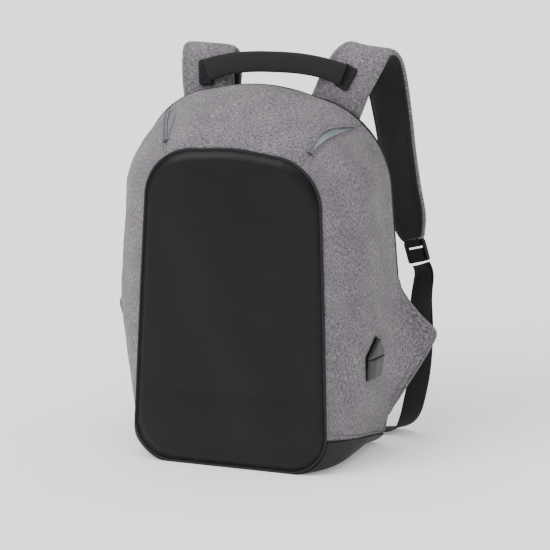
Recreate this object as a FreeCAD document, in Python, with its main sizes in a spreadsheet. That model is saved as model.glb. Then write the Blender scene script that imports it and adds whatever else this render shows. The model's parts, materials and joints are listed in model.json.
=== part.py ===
"""Anti-theft backpack with a hidden rear opening and a covered charging port.

Frame: millimetres, +Z up, the black front panel faces -Y, the wearer's back
is at +Y and the origin is the middle of the base, on the floor.
"""
import FreeCAD
import Part
import Sketcher
import math
import os

V = FreeCAD.Vector
SIDES = {"left": -1, "right": 1}

CROWN_DROP = 6.0
HANDLE_STEPS = 14

SIZES = {
    # overall body
    "pack_height": 430.0,
    "pack_depth": 140.0,
    "pack_half_width": 168.0,
    "wall": 4.0,
    "floor_trim": 1.0,
    "crown_radius": 200.0,
    # black front panel
    "front_half_width": 122.0,
    "front_height": 384.0,
    "front_lean": 4.5,
    "front_corner_radius": 62.0,
    "front_foot_radius": 46.0,
    "front_crown": 7.0,
    "piping_radius": 2.0,
    # seams
    "boot_height_front": 44.0,
    "boot_height_rear": 12.0,
    "yoke_half_width_front": 75.0,
    "yoke_half_width_rear": 123.0,
    "insert_length": 66.0,
    "insert_half_width": 5.0,
    # rear opening
    "hinge_height": 163.0,
    "flap_margin": 14.0,
    "flap_gap": 0.4,
    "zip_inset": 7.0,
    "chain_width": 4.0,
    "chain_thickness": 1.6,
    "chain_end_gap": 6.0,
    "slider_width": 9.0,
    "slider_length": 12.0,
    "slider_depth": 5.0,
    "slider_clearance": 0.4,
    "slider_height": 186.0,
    "pull_width": 7.0,
    "pull_length": 24.0,
    "pull_thickness": 1.5,
    "pull_pin_radius": 1.0,
    "pull_pin_clearance": 0.1,
    # inside
    "board_thickness": 3.0,
    "board_side_margin": 36.0,
    "board_end_margin": 10.0,
    "sleeve_width": 216.0,
    "sleeve_height": 190.0,
    "sleeve_depth": 22.0,
    "sleeve_wall": 3.0,
    "sleeve_foot_gap": 10.0,
    # back padding
    "pad_width": 92.0,
    "pad_height": 176.0,
    "pad_thickness": 11.0,
    "pad_spacing": 112.0,
    "pad_bottom": 176.0,
    "lumbar_width": 176.0,
    "lumbar_height": 84.0,
    "lumbar_bottom": 52.0,
    "pad_corner": 18.0,
    "pad_edge": 4.0,
    # wings
    "wing_angle": 32.7,
    "wing_reach": 46.0,
    "wing_top": 172.0,
    "wing_tip_height": 135.0,
    "wing_bottom": 34.0,
    "wing_thickness": 5.0,
    # shoulder straps
    "strap_width": 62.0,
    "strap_end_width": 34.0,
    "strap_rise": 38.0,
    "strap_drop": 230.0,
    "strap_cover_thickness": 1.5,
    "strap_foam_thickness": 6.5,
    "strap_mesh_thickness": 2.0,
    # carry handle
    "handle_width": 25.0,
    "handle_thickness": 4.0,
    "handle_core_thickness": 1.6,
    "handle_rise": 17.5,
    "handle_end_height": 2.0,
    "patch_length": 16.0,
    "handle_overlap": 6.0,
    # ladder locks and webbing
    "webbing_width": 25.0,
    "webbing_thickness": 1.6,
    "lock_slot_play": 0.6,
    "lock_rail": 4.0,
    "lock_thickness": 4.5,
    "lock_top_bar": 4.0,
    "lock_upper_slot": 7.6,
    "lock_middle_bar": 5.0,
    "lock_lower_slot": 5.0,
    "lock_bottom_bar": 4.0,
    "loop_play": 1.4,
    "fold_play": 0.3,
    "webbing_gap": 3.0,
    "loop_length": 16.0,
    # charging port
    "port_height": 128.0,
    "port_setback": 74.0,
    "port_half_width": 15.5,
    "port_foot_half_width": 13.5,
    "port_half_height": 25.0,
    "port_shoulder": 5.0,
    "port_apex_half_width": 2.5,
    "port_rim": 2.0,
    "port_rim_rise": 1.2,
    "port_depth": 6.0,
    "cover_thickness": 4.0,
    "cover_gap": 0.4,
    "crease_height": 2.0,
    "socket_width": 13.1,
    "socket_height": 5.7,
    "socket_wall": 0.4,
    "socket_depth": 13.0,
    "socket_drop": 11.0,
    "tongue_width": 10.6,
    "tongue_thickness": 1.8,
    "tongue_depth": 10.0,
    "contact_width": 1.2,
    "contact_pitch": 2.5,
    "contact_thickness": 0.2,
}

doc = FreeCAD.newDocument("backpack")
sheet = doc.addObject("Spreadsheet::Sheet", "Sizes")
NODES = []


def fill_sheet():
    """Write every driving size into its own named cell."""
    for row, (alias, value) in enumerate(SIZES.items(), start=1):
        sheet.set(f"A{row}", alias)
        sheet.set(f"B{row}", str(value))
        sheet.setAlias(f"B{row}", alias)
    doc.recompute()


def size(alias):
    """Value of one named cell, in millimetres or degrees."""
    return float(sheet.get(alias))


def keep(shape_object, name):
    """Name an object as one finished sub-part."""
    shape_object.Label = name
    NODES.append(shape_object)
    return shape_object


def feature(name, shape, placement=None):
    """Sub-part whose sewn or swept shape is set directly."""
    part = doc.addObject("Part::Feature", name)
    part.Shape = shape
    if placement is not None:
        part.Placement = placement
    return keep(part, name)


# ---------------------------------------------------------------- sketch tools
def origin_plane(body, role):
    """One of a body's own origin planes."""
    return next(item for item in body.Origin.OriginFeatures if item.Role == role)


def polygon_sketch(body, corners, role="XY_Plane", rise=None):
    """Closed polygon whose corner coordinates are expressions on the sheet."""
    sketch = body.newObject("Sketcher::SketchObject", body.Name + "Sketch")
    sketch.AttachmentSupport = (origin_plane(body, role), [""])
    sketch.MapMode = "FlatFace"
    if rise is not None:
        sketch.setExpression("AttachmentOffset.Base.z", rise)
    count = len(corners)
    starts = [V(math.cos(2 * math.pi * k / count), math.sin(2 * math.pi * k / count), 0)
              for k in range(count)]
    for index in range(count):
        sketch.addGeometry(Part.LineSegment(starts[index], starts[(index + 1) % count]))
    for index in range(count):
        sketch.addConstraint(Sketcher.Constraint("Coincident", index, 2, (index + 1) % count, 1))
    for index, pair in enumerate(corners):
        for kind, start, expression in zip(("DistanceX", "DistanceY"), starts[index], pair):
            number = sketch.addConstraint(Sketcher.Constraint(kind, -1, 1, index, 1, start))
            sketch.setExpression(f"Constraints[{number}]", expression)
    return sketch


def rectangle(width, low, high):
    """Corners of a rectangle centred on the sketch's own Y axis."""
    half = f"({width}) / 2"
    return [(f"-{half}", low), (half, low), (half, high), (f"-{half}", high)]


def pad_feature(body, sketch, length):
    """Pad a sketch by an expression."""
    made = body.newObject("PartDesign::Pad", body.Name + "Pad")
    made.Profile = sketch
    made.setExpression("Length", length)
    doc.recompute()
    return made


def pocket_feature(body, sketch, both_ways=True):
    """Cut a sketch through the whole body."""
    before = body.Shape.Volume
    made = body.newObject("PartDesign::Pocket", body.Name + "Pocket")
    made.Profile = sketch
    made.Type = 1
    made.Midplane = both_ways
    doc.recompute()
    if body.Shape.Volume >= before:
        raise RuntimeError("pocket cut nothing in " + body.Name)
    return made


def dress_edges(body, kind, radius, chosen):
    """Fillet or chamfer the edges that a test picks."""
    edges = [f"Edge{number}" for number, edge in enumerate(body.Shape.Edges, start=1) if chosen(edge)]
    base = body.Tip
    made = body.newObject("PartDesign::" + kind, body.Name + kind)
    made.Base = (base, edges)
    made.setExpression("Radius" if kind == "Fillet" else "Size", radius)
    body.Tip = made
    doc.recompute()
    return made


def upright(edge):
    """True for an edge along the pad direction."""
    if len(edge.Vertexes) < 2:
        return False
    span = edge.Vertexes[1].Point - edge.Vertexes[0].Point
    return abs(span.z) > 0.999 * span.Length


def new_body(name):
    """Empty PartDesign body that becomes a node."""
    body = doc.addObject("PartDesign::Body", name)
    return keep(body, name)


# ----------------------------------------------------------------- sewn outline
def corner_points(before, corner, after, radius):
    """Start, middle and end of the arc that rounds one corner."""
    back = (before - corner).normalize()
    ahead = (after - corner).normalize()
    half = back.getAngle(ahead) / 2
    reach = radius / math.tan(half)
    inward = (back + ahead).normalize()
    middle = corner + inward * (radius / math.sin(half) - radius)
    return corner + back * reach, middle, corner + ahead * reach


def rounded_wire(corners, radii):
    """Closed wire of straight sides joined by tangent arcs."""
    count = len(corners)
    rounds = [corner_points(corners[k - 1], corners[k], corners[(k + 1) % count], radii[k])
              for k in range(count)]
    edges = []
    for k in range(count):
        edges.append(Part.Arc(*rounds[k]).toShape())
        edges.append(Part.LineSegment(rounds[k][2], rounds[(k + 1) % count][0]).toShape())
    return Part.Wire(edges)


class Outline:
    """One cross outline of the pack: a rounded arch in a leaning plane."""

    def __init__(self, base_y, lean, foot, waist, shoulder, crown, radii):
        self.base_y = base_y
        self.lean = lean
        self.foot = foot
        self.waist = waist
        self.shoulder = shoulder
        self.crown = crown
        self.radii = radii

    def placement(self, forward=0.0):
        """Plane of the outline, moved along its own normal."""
        turn = FreeCAD.Rotation(V(1, 0, 0), 90 - self.lean)
        normal = turn.multVec(V(0, 0, 1))
        return FreeCAD.Placement(V(0, self.base_y, 0) + normal * forward, turn)

    def wire(self, inset=0.0, forward=0.0, sink=None):
        """Closed outline, drawn inward by inset and moved by forward toward the front."""
        low = -size("floor_trim") if sink is None else sink
        waist_x, waist_z = self.waist
        shoulder_x, shoulder_z = self.shoulder
        half = [(self.foot - inset, low), (waist_x - inset, waist_z),
                (shoulder_x - inset, shoulder_z - inset)]
        corners = [V(x, z, 0) for x, z in half]
        corners.append(V(0, self.crown - inset, 0))
        corners += [V(-x, z, 0) for x, z in reversed(half)]
        foot_r, waist_r, shoulder_r = self.radii
        crown_r = size("crown_radius")
        radii = [foot_r - inset / 2, waist_r, shoulder_r - inset, crown_r]
        radii += [shoulder_r - inset, waist_r, foot_r - inset / 2]
        made = rounded_wire(corners, radii)
        made.Placement = self.placement(forward)
        return made


def outlines(inset=0.0):
    """The four outlines of the body, front to rear, from the driving sizes."""
    depth = size("pack_depth")
    front_y = -depth / 2 + inset
    rear_y = depth / 2 - inset
    span = rear_y - front_y
    front_w = size("front_half_width")
    rear_w = size("pack_half_width")
    grow = rear_w - front_w
    front_h = size("front_height")
    rear_h = size("pack_height") + CROWN_DROP
    rise = rear_h - front_h
    lean = size("front_lean")
    corner = size("front_corner_radius")
    return [
        Outline(front_y, lean, front_w, (front_w - 7, front_h * 0.52),
                (front_w - 14, front_h - 11), front_h,
                (size("front_foot_radius"), 300, corner)),
        Outline(front_y + span * 0.18, lean * 0.8, front_w + grow * 0.07,
                (front_w + grow * 0.42, rear_h * 0.44),
                (front_w + grow * 0.18, front_h + rise * 0.05), front_h + rise * 0.3,
                (30, 300, corner + 24)),
        Outline(front_y + span * 0.53, lean * 0.4, front_w + grow * 0.22,
                (front_w + grow * 0.83, rear_h * 0.36),
                (front_w + grow * 0.5, front_h + rise * 0.2), front_h + rise * 0.7,
                (30, 300, corner + 40)),
        Outline(rear_y, 0, rear_w - 27, (rear_w, rear_h * 0.3),
                (rear_w - 17, rear_h - 37), rear_h, (30, 300, corner + 43)),
    ]


def body_solid(inset=0.0):
    """Soft box of the pack, inset on every side by the same amount."""
    low = inset if inset else None
    wires = [outline.wire(inset, sink=low) for outline in outlines(inset)]
    solid = Part.makeLoft(wires, True, False)
    return solid.cut(box_between(V(-400, -400, -100), V(400, 400, 0)))


def box_between(low, high):
    """Plain box from its two far corners."""
    span = high - low
    return Part.makeBox(span.x, span.y, span.z, low)


def prism(points, along):
    """Straight prism on a polygon."""
    face = Part.Face(Part.makePolygon(points + [points[0]]))
    return face.extrude(along)


def outline_prism(outline, inset, behind, length):
    """Prism on an outline, starting behind its plane and running backward."""
    face = Part.Face(outline.wire(inset))
    face.translate(V(0, behind, 0))
    return face.extrude(V(0, length, 0))


def seam_half_width(y):
    """Half width of the top yoke at one depth."""
    depth = size("pack_depth")
    share = (y + depth / 2) / depth
    front = size("yoke_half_width_front")
    return front + (size("yoke_half_width_rear") - front) * share


YOKE_SHARE = 0.78


def yoke_region():
    """Space above the two slanting shoulder seams."""
    front = -size("pack_depth")
    rear = size("pack_depth")
    points = [V(-seam_half_width(front), front, 0), V(seam_half_width(front), front, 0),
              V(seam_half_width(rear), rear, 0), V(-seam_half_width(rear), rear, 0)]
    region = prism(points, V(0, 0, 2 * size("pack_height")))
    region.translate(V(0, 0, size("front_height") * YOKE_SHARE))
    return region


def insert_region(side):
    """Leaf-shaped space along one shoulder seam."""
    middle_y = size("pack_depth") * 0.1
    reach = size("insert_length") / 2
    ends = [V(side * seam_half_width(y), y, 0) for y in (middle_y - reach, middle_y + reach)]
    centre = (ends[0] + ends[1]) / 2
    along = (ends[1] - ends[0]).normalize()
    across = V(-along.y, along.x, 0) * size("insert_half_width")
    edges = [Part.Arc(ends[0], centre + across, ends[1]).toShape(),
             Part.Arc(ends[1], centre - across, ends[0]).toShape()]
    face = Part.Face(Part.Wire(edges))
    face.translate(V(0, 0, size("front_height") * YOKE_SHARE))
    return face.extrude(V(0, 0, size("pack_height")))


def boot_region():
    """Space below the slanting top edge of the base boot."""
    depth = size("pack_depth")
    front = size("boot_height_front")
    fall = (front - size("boot_height_rear")) / depth
    points = [V(-400, -depth, -10), V(-400, depth, -10),
              V(-400, depth, front - fall * 1.5 * depth), V(-400, -depth, front + fall * 0.5 * depth)]
    return prism(points, V(800, 0, 0))


def front_region():
    """Leaning slab that holds the front panel."""
    slab = box_between(V(-400, -100, -200), V(400, size("wall"), 900))
    slab.rotate(V(0, 0, 0), V(1, 0, 0), -size("front_lean"))
    slab.translate(V(0, -size("pack_depth") / 2, 0))
    return slab


# ---------------------------------------------------------------------- the bag
class Bag:
    """Sewn shell of the pack and everything fixed to it."""

    def __init__(self):
        wall = size("wall")
        self.half_depth = size("pack_depth") / 2
        self.outer = body_solid()
        self.inner = body_solid(wall)
        self.shell = self.outer.cut(self.inner)
        self.outlines = outlines()
        self.rear = self.outlines[-1]

    def skin_x(self, y, z):
        """Distance from the middle plane to the outer side at one depth and height."""
        ray = Part.makeLine(V(1, y, z), V(400, y, z))
        return self.outer.common(ray).BoundBox.XMax

    def piping_shape(self):
        """Round cord sewn into the seam round the front panel."""
        path = self.outlines[0].wire(inset=size("piping_radius"))
        start = path.Edges[0].valueAt(path.Edges[0].FirstParameter)
        heading = path.Edges[0].tangentAt(path.Edges[0].FirstParameter)
        ring = Part.Wire(Part.makeCircle(size("piping_radius"), start, heading))
        made = path.makePipeShell([ring], True, False)
        return made.cut(box_between(V(-400, -400, -100), V(400, 400, 0)))

    def front_shape(self):
        """Foam-backed front panel: a plate with a shallow crown."""
        outline = self.outlines[0]
        crown = size("front_crown")
        steps = [(0.5, -size("wall")), (0.5, 0), (10, crown * 0.55), (30, crown)]
        wires = [outline.wire(inset, forward, sink=inset) for inset, forward in steps]
        plate = Part.makeLoft(wires[:2], True, True)
        dome = Part.makeLoft(wires[1:], True, False)
        return plate.fuse(dome).removeSplitter()

    def sewn_panels(self, port_hole):
        """Cut the shell along its seams into separate panels."""
        piping = self.piping_shape()
        front = self.front_shape().cut(piping)
        front = front.cut(box_between(V(-400, -400, -100), V(400, 400, 0)))
        rear_slab = box_between(V(-400, self.half_depth - size("wall"), -10),
                                V(400, self.half_depth + 50, 900))
        band = self.shell.cut(front_region()).cut(front).cut(piping)
        boot = band.common(boot_region())
        band = band.cut(boot_region()).cut(rear_slab)
        feature("front_panel", front)
        feature("front_piping", piping)
        feature("base_boot", boot)
        yoke = band.common(yoke_region())
        sides = band.cut(yoke_region())
        for name, side in SIDES.items():
            leaf = insert_region(side)
            feature("reflective_insert_" + name, band.common(leaf))
            yoke = yoke.cut(leaf)
            sides = sides.cut(leaf)
        feature("top_yoke", yoke)
        for name, side in SIDES.items():
            half = box_between(V(min(0, 400 * side), -400, -10), V(max(0, 400 * side), 400, 900))
            panel = sides.common(half)
            if side > 0:
                panel = panel.cut(port_hole)
            feature("side_gusset_" + name, panel)

    def rear_panels(self):
        """Lower back, zip tape ring, zip chain and the opening flap."""
        wall = size("wall")
        start = self.half_depth - wall
        hinge = size("hinge_height")
        above = box_between(V(-400, -400, hinge), V(400, 400, 900))
        plate = self.shell.common(box_between(V(-400, start, -10), V(400, 400, 900)))
        plate = plate.cut(boot_region())
        feature("lower_back_panel", plate.cut(above))
        margin = size("flap_margin")
        opening = outline_prism(self.rear, margin, -2 * wall, 4 * wall)
        feature("zip_tape", plate.common(above).cut(opening))
        gap = size("flap_gap")
        inside = outline_prism(self.rear, margin + gap, -wall, wall)
        clear = box_between(V(-400, -400, hinge + gap), V(400, 400, 900))
        feature("back_flap_panel", inside.common(clear))
        inset = size("zip_inset")
        ring = outline_prism(self.rear, inset, 0, size("chain_thickness"))
        ring = ring.cut(outline_prism(self.rear, inset + size("chain_width"), -1,
                                      size("chain_thickness") + 2))
        stretch = box_between(V(-400, -400, hinge + size("chain_end_gap")), V(400, 400, 900))
        feature("zip_chain", ring.common(stretch))

    def wing(self, name, side):
        """Triangular side wing that anchors the lower webbing."""
        reach = size("wing_reach")
        top = size("wing_top")
        tip = size("wing_tip_height")
        low = size("wing_bottom")
        half = size("wing_thickness") / 2
        root_x = size("pack_half_width") - 5
        corners = [V(-30, -half, top), V(0, -half, top), V(reach, -half, tip + 3),
                   V(reach - 4, -half, tip - 22), V(4, -half, low + 30), V(-16, -half, low),
                   V(-30, -half, low)]
        wire = rounded_wire(corners, [1, 14, 8, 14, 60, 4, 1])
        solid = Part.Face(wire).extrude(V(0, 2 * half, 0))
        solid.rotate(V(0, 0, 0), V(0, 0, 1), size("wing_angle"))
        solid.translate(V(root_x, self.half_depth - 3, 0))
        if side < 0:
            solid = solid.mirror(V(0, 0, 0), V(1, 0, 0))
        feature("wing_" + name, solid.cut(self.outer))

    def inside(self):
        """Stiff board on the floor of the bag."""
        board = new_body("base_board")
        side = "(Sizes.front_half_width - Sizes.wall - Sizes.board_side_margin)"
        reach = "(Sizes.pack_depth / 2 - Sizes.wall - Sizes.board_end_margin)"
        sketch = polygon_sketch(board, rectangle(f"2 * {side}", f"-{reach}", reach), rise="Sizes.wall")
        pad_feature(board, sketch, "Sizes.board_thickness")


def sleeve():
    """Open-topped tablet pocket on the inner face of the flap."""
    outer = doc.addObject("Part::Box", "SleeveOuter")
    inner = doc.addObject("Part::Box", "SleeveInner")
    rear = "Sizes.pack_depth / 2 - Sizes.wall"
    foot = "Sizes.hinge_height + Sizes.sleeve_foot_gap"
    bind(outer, Length="Sizes.sleeve_width", Width="Sizes.sleeve_depth", Height="Sizes.sleeve_height",
         x="-Sizes.sleeve_width / 2", y=f"{rear} - Sizes.sleeve_depth", z=foot)
    bind(inner, Length="Sizes.sleeve_width - 2 * Sizes.sleeve_wall",
         Width="Sizes.sleeve_depth", Height="Sizes.sleeve_height",
         x="-Sizes.sleeve_width / 2 + Sizes.sleeve_wall",
         y=f"{rear} - Sizes.sleeve_depth + Sizes.sleeve_wall", z=f"{foot} + Sizes.sleeve_wall")
    pocket = doc.addObject("Part::Cut", "tablet_sleeve")
    pocket.Base = outer
    pocket.Tool = inner
    keep(pocket, "tablet_sleeve")


def bind(box, **expressions):
    """Tie a box's sides and corner to the sheet."""
    for name, expression in expressions.items():
        target = f"Placement.Base.{name}" if name in "xyz" else name
        box.setExpression(target, expression)


# ------------------------------------------------------------ soft strips
def frames_along(points, turns):
    """Width and thickness directions at each point of a strip's path."""
    found = []
    for index, point in enumerate(points):
        before = points[max(index - 1, 0)]
        after = points[min(index + 1, len(points) - 1)]
        heading = (after - before).normalize()
        angle = math.radians(turns[index])
        across = V(math.cos(angle), math.sin(angle), 0)
        across = (across - heading * across.dot(heading)).normalize()
        found.append((point, across, across.cross(heading).normalize()))
    return found


def between(values, index, share):
    """Point of a smooth curve through the values, part of the way past one of them."""
    count = len(values)
    before, here = values[max(index - 1, 0)], values[index]
    after, beyond = values[min(index + 1, count - 1)], values[min(index + 2, count - 1)]
    a, b = share, share * share
    c = b * share
    return (here * 2 + (after - before) * a + (before * 2 - here * 5 + after * 4 - beyond) * b
            + (here * 3 - before - after * 3 + beyond) * c) * 0.5


def refined(values, steps):
    """The values with smooth steps worked out between them."""
    found = [between(values, index, step / steps)
             for index in range(len(values) - 1) for step in range(steps)]
    return found + [values[-1]]


def banded_solid(rings):
    """Closed solid through four-cornered rings, in flat triangles.

    Both broad faces are split along the same diagonal, so a twist keeps the thickness.
    """
    count = len(rings[0])
    triangles = []
    for near, far in zip(rings, rings[1:]):
        for k in range(count):
            k2 = (k + 1) % count
            if k < count / 2:
                triangles += [(near[k], near[k2], far[k2]), (near[k], far[k2], far[k])]
            else:
                triangles += [(near[k], near[k2], far[k]), (near[k2], far[k2], far[k])]
    for ring in (rings[0], rings[-1]):
        triangles += [(ring[0], ring[k], ring[k + 1]) for k in range(1, count - 1)]
    faces = [Part.Face(Part.makePolygon([a, b, c, a])) for a, b, c in triangles]
    shell = Part.makeShell(faces)
    shell.sewShape()
    solid = Part.makeSolid(Part.Shell(shell.Faces))
    if solid.Volume < 0:
        solid.reverse()
    return solid


def strip_solid(points, widths, turns, low, high, steps=2):
    """Flat strip: rectangles across a path, from low to high along its thickness."""
    points = refined(points, steps)
    widths = refined(widths, steps)
    turns = refined(turns, steps)
    rings = []
    for (point, across, outward), width in zip(frames_along(points, turns), widths):
        half = across * (width / 2)
        rings.append([point - half + outward * low, point + half + outward * low,
                      point + half + outward * high, point - half + outward * high])
    return banded_solid(rings)


STRAP_ROUTES = {
    # across, behind the rear face, below the crest, turn about the vertical
    "right": [(72, 5.0, 106, 0), (72, 7.2, 90, 0), (78, 9.4, 74, 0), (86, 12, 54, 0), (96, 16, 29, -2),
              (109, 23, 7, -4), (118, 36, -3, -8), (123, 50, 8, -12), (127, 61, 37, -18),
              (133, 67, 88, -24), (139, 68, 138, -28), (147, 65, 188, -28), (155, 61, 224, -26),
              (160, 59, 240, -24)],
    "left": [(73, 5.0, 106, 0), (73, 7.2, 90, 0), (74, 9.4, 76, 0), (76, 12, 60, 0), (79, 16, 38, 0),
             (81, 23, 18, 0), (83, 36, 10, 0), (84, 50, 19, 2), (87, 61, 44, 6),
             (95, 67, 91, 12), (106, 68, 139, 17), (120, 65, 188, 20), (133, 61, 224, 20),
             (138, 59, 240, 20)],
}
REAR_LEG_START = 8
HANDLE_SEAT = 4
TAIL_ROUTE = [
    # outward of the lock, behind the rear face, above the floor
    (12, 53, 168), (12, 50, 122), (9, 48, 80), (2, 47, 44), (-5, 46, 21), (-18, 44, 6), (-41, 41, 1.6),
]


class Strap:
    """One padded shoulder strap with its ladder lock and webbing."""

    def __init__(self, name, side):
        self.name = name
        self.side = side
        self.rear = size("pack_depth") / 2
        self.crest = size("pack_height") + size("strap_rise")
        stretch = size("strap_drop") / STRAP_ROUTES[name][-1][2]
        self.thickness = (size("strap_mesh_thickness") + size("strap_foam_thickness")
                          + size("strap_cover_thickness"))
        lift = self.thickness / 2 - STRAP_ROUTES[name][0][1]
        self.points = []
        self.turns = []
        for index, (across, behind, below, turn) in enumerate(STRAP_ROUTES[name]):
            fall = below * stretch if index >= REAR_LEG_START else below
            self.points.append(V(side * across, self.rear + behind + lift, self.crest - fall))
            self.turns.append(turn)
        full = size("strap_width")
        end = size("strap_end_width")
        tapered = {-3: full - 2, -2: (full + end) / 2, -1: end}
        count = len(self.points)
        self.widths = [tapered.get(index - count, full) for index in range(count)]

    def layers(self):
        """Cover fabric, foam and air mesh, each lying on the next."""
        mesh = size("strap_mesh_thickness")
        foam = size("strap_foam_thickness")
        cover = size("strap_cover_thickness")
        low = -self.thickness / 2
        for layer, thick in (("mesh", mesh), ("foam", foam), ("cover", cover)):
            solid = strip_solid(self.points, self.widths, self.turns, low, low + thick)
            feature(f"strap_{layer}_{self.name}", solid)
            low += thick

    def lock_placement(self):
        """Frame of the ladder lock: X across, Y up along the strap, Z outward."""
        point, across, outward = frames_along(self.points, self.turns)[-1]
        up = across.cross(outward)
        origin = point - up * (size("loop_play") + size("lock_top_bar"))
        turn = FreeCAD.Rotation(across * -1, up, outward, "ZXY")
        return FreeCAD.Placement(origin, turn)

    def lock(self):
        """Moulded ladder lock: a plate with two slots."""
        body = new_body("ladder_lock_" + self.name)
        slot = "(Sizes.webbing_width + 2 * Sizes.lock_slot_play)"
        width = f"{slot} + 2 * Sizes.lock_rail"
        top = "Sizes.lock_top_bar / 2"
        upper = "(-Sizes.lock_top_bar / 2 - Sizes.lock_upper_slot)"
        lower = f"({upper} - Sizes.lock_middle_bar - Sizes.lock_lower_slot)"
        foot = f"({lower} - Sizes.lock_bottom_bar)"
        sketch = polygon_sketch(body, rectangle(width, foot, top), rise="-Sizes.lock_thickness / 2")
        pad_feature(body, sketch, "Sizes.lock_thickness")
        spans = ((upper, "-Sizes.lock_top_bar / 2"), (lower, f"{upper} - Sizes.lock_middle_bar"))
        for low, high in spans:
            pocket_feature(body, polygon_sketch(body, rectangle(slot, low, high)))
        reach = size("webbing_width") / 2 + size("lock_slot_play") + size("lock_rail")
        dress_edges(body, "Fillet", "Sizes.lock_rail * 0.6",
                    lambda edge: upright(edge) and abs(abs(edge.CenterOfMass.x) - reach) < 0.01)
        body.Placement = self.lock_placement()

    def u_band(self, inner_half, bottom, top, thick, closed_at_top):
        """Webbing bent into a U round a bar, in the lock's own frame."""
        half = size("webbing_width") / 2
        outer = inner_half + thick
        block = box_between(V(-half, bottom, -outer), V(half, top, outer))
        low = bottom if closed_at_top else bottom + thick
        high = top - thick if closed_at_top else top
        return block.cut(box_between(V(-half - 1, low, -inner_half), V(half + 1, high, inner_half)))

    def bands(self):
        """Loop that holds the lock on the strap and the fold over its middle bar."""
        thick = size("webbing_thickness")
        bar = size("lock_top_bar") / 2
        play = size("loop_play")
        loop = self.u_band(self.thickness / 2 - thick, -bar - play - thick,
                           size("loop_length") - bar, thick, False)
        loop.Placement = self.lock_placement()
        feature("lock_loop_" + self.name, loop)
        middle_top = -bar - size("lock_upper_slot")
        foot = middle_top - size("lock_middle_bar") - size("lock_lower_slot") - size("lock_bottom_bar")
        inner = size("lock_thickness") / 2 + size("fold_play")
        fold = self.u_band(inner, foot, middle_top + size("fold_play") + thick, thick, True)
        fold.Placement = self.lock_placement()
        feature("webbing_fold_" + self.name, fold)

    def webbing(self):
        """Lower webbing from the lock to the wing, and its loose tail on the floor."""
        place = self.lock_placement()
        thick = size("webbing_thickness")
        leg = size("lock_thickness") / 2 + size("fold_play") + thick / 2
        foot = -size("lock_top_bar") / 2 - size("lock_upper_slot") - size("lock_middle_bar")
        foot -= size("lock_lower_slot") + size("lock_bottom_bar") + size("webbing_gap")
        wing_x = self.side * (size("pack_half_width") + 14)
        anchor_y = self.rear + size("wing_thickness") / 2 + 10
        tip = size("wing_tip_height")
        width = size("webbing_width")
        start = place.multVec(V(0, foot, -leg))
        below = place.multVec(V(0, foot - 14, -leg))
        end = V(wing_x, anchor_y, tip)
        near = V(wing_x, anchor_y + 4, tip + 18)
        middle = (below + near) / 2
        path = [start, below, middle, near, end]
        turn = self.turns[-1]
        turns = [turn, turn, turn * 0.4 + 8 * self.side, 20 * self.side, 28 * self.side]
        half = thick / 2
        feature("webbing_" + self.name, strip_solid(path, [width] * 5, turns, -half, half))
        start = place.multVec(V(0, foot, leg))
        below = place.multVec(V(0, foot - 14, leg))
        sx = self.side
        y = self.rear
        x = place.Base.x
        path = [start, below]
        path += [V(x + sx * out, y + behind, height) for out, behind, height in TAIL_ROUTE]
        turns = [turn, turn, turn * 0.5] + [10 * sx, 14 * sx, 20 * sx, 42 * sx, 68 * sx, 80 * sx]
        feature("webbing_tail_" + self.name, strip_solid(path, [width] * 9, turns, -half, half))


class Handle:
    """Carry handle sewn onto the front faces of both shoulder straps."""

    def __init__(self, straps):
        self.ends = {}
        for name, strap in straps.items():
            point, across, outward = frames_along(strap.points, strap.turns)[HANDLE_SEAT]
            self.ends[name] = (point + outward * strap.thickness / 2, across, outward)

    def path(self, lift):
        """Arch between the two straps, lift in front of their faces."""
        over = size("handle_overlap")
        left = self.ends["left"][0] + V(-over, 0, size("handle_end_height"))
        right = self.ends["right"][0] + V(over, 0, size("handle_end_height"))
        points = []
        for step in range(HANDLE_STEPS + 1):
            share = step / HANDLE_STEPS
            point = left + (right - left) * share
            bow = 4 * share * (1 - share)
            point += V(0, -lift, size("handle_rise") * bow)
            points.append(point)
        return points

    def strip(self, low, high, width, lift):
        """Band standing on edge along the arch, its face to the front."""
        points = self.path(lift)
        rings = []
        for index, point in enumerate(points):
            before = points[max(index - 1, 0)]
            after = points[min(index + 1, len(points) - 1)]
            heading = (after - before).normalize()
            outward = V(0, -1, 0)
            outward = (outward - heading * outward.dot(heading)).normalize()
            tall = heading.cross(outward).normalize() * (width / 2)
            rings.append([point - tall + outward * low, point + tall + outward * low,
                          point + tall + outward * high, point - tall + outward * high])
        return banded_solid(rings)

    def build(self):
        """Sleeve round a webbing core, and the two sewn end patches."""
        width = size("handle_width")
        thick = size("handle_thickness")
        core = size("handle_core_thickness")
        lift = 1.5
        inner = self.strip((thick - core) / 2, (thick + core) / 2, width - 3, lift)
        sleeve = self.strip(0, thick, width, lift)
        patch = size("patch_length") / 2
        left_x = self.ends["left"][0].x
        right_x = self.ends["right"][0].x
        middle = box_between(V(left_x + patch, -400, 0), V(right_x - patch, 400, 900))
        feature("handle_core", inner)
        feature("handle_sleeve", sleeve.cut(inner).common(middle))
        for name, side in SIDES.items():
            x = self.ends[name][0].x
            zone = box_between(V(x - patch, -400, 0), V(x + patch, 400, 900))
            feature("handle_patch_" + name, sleeve.cut(inner).common(zone).cut(middle))


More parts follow.
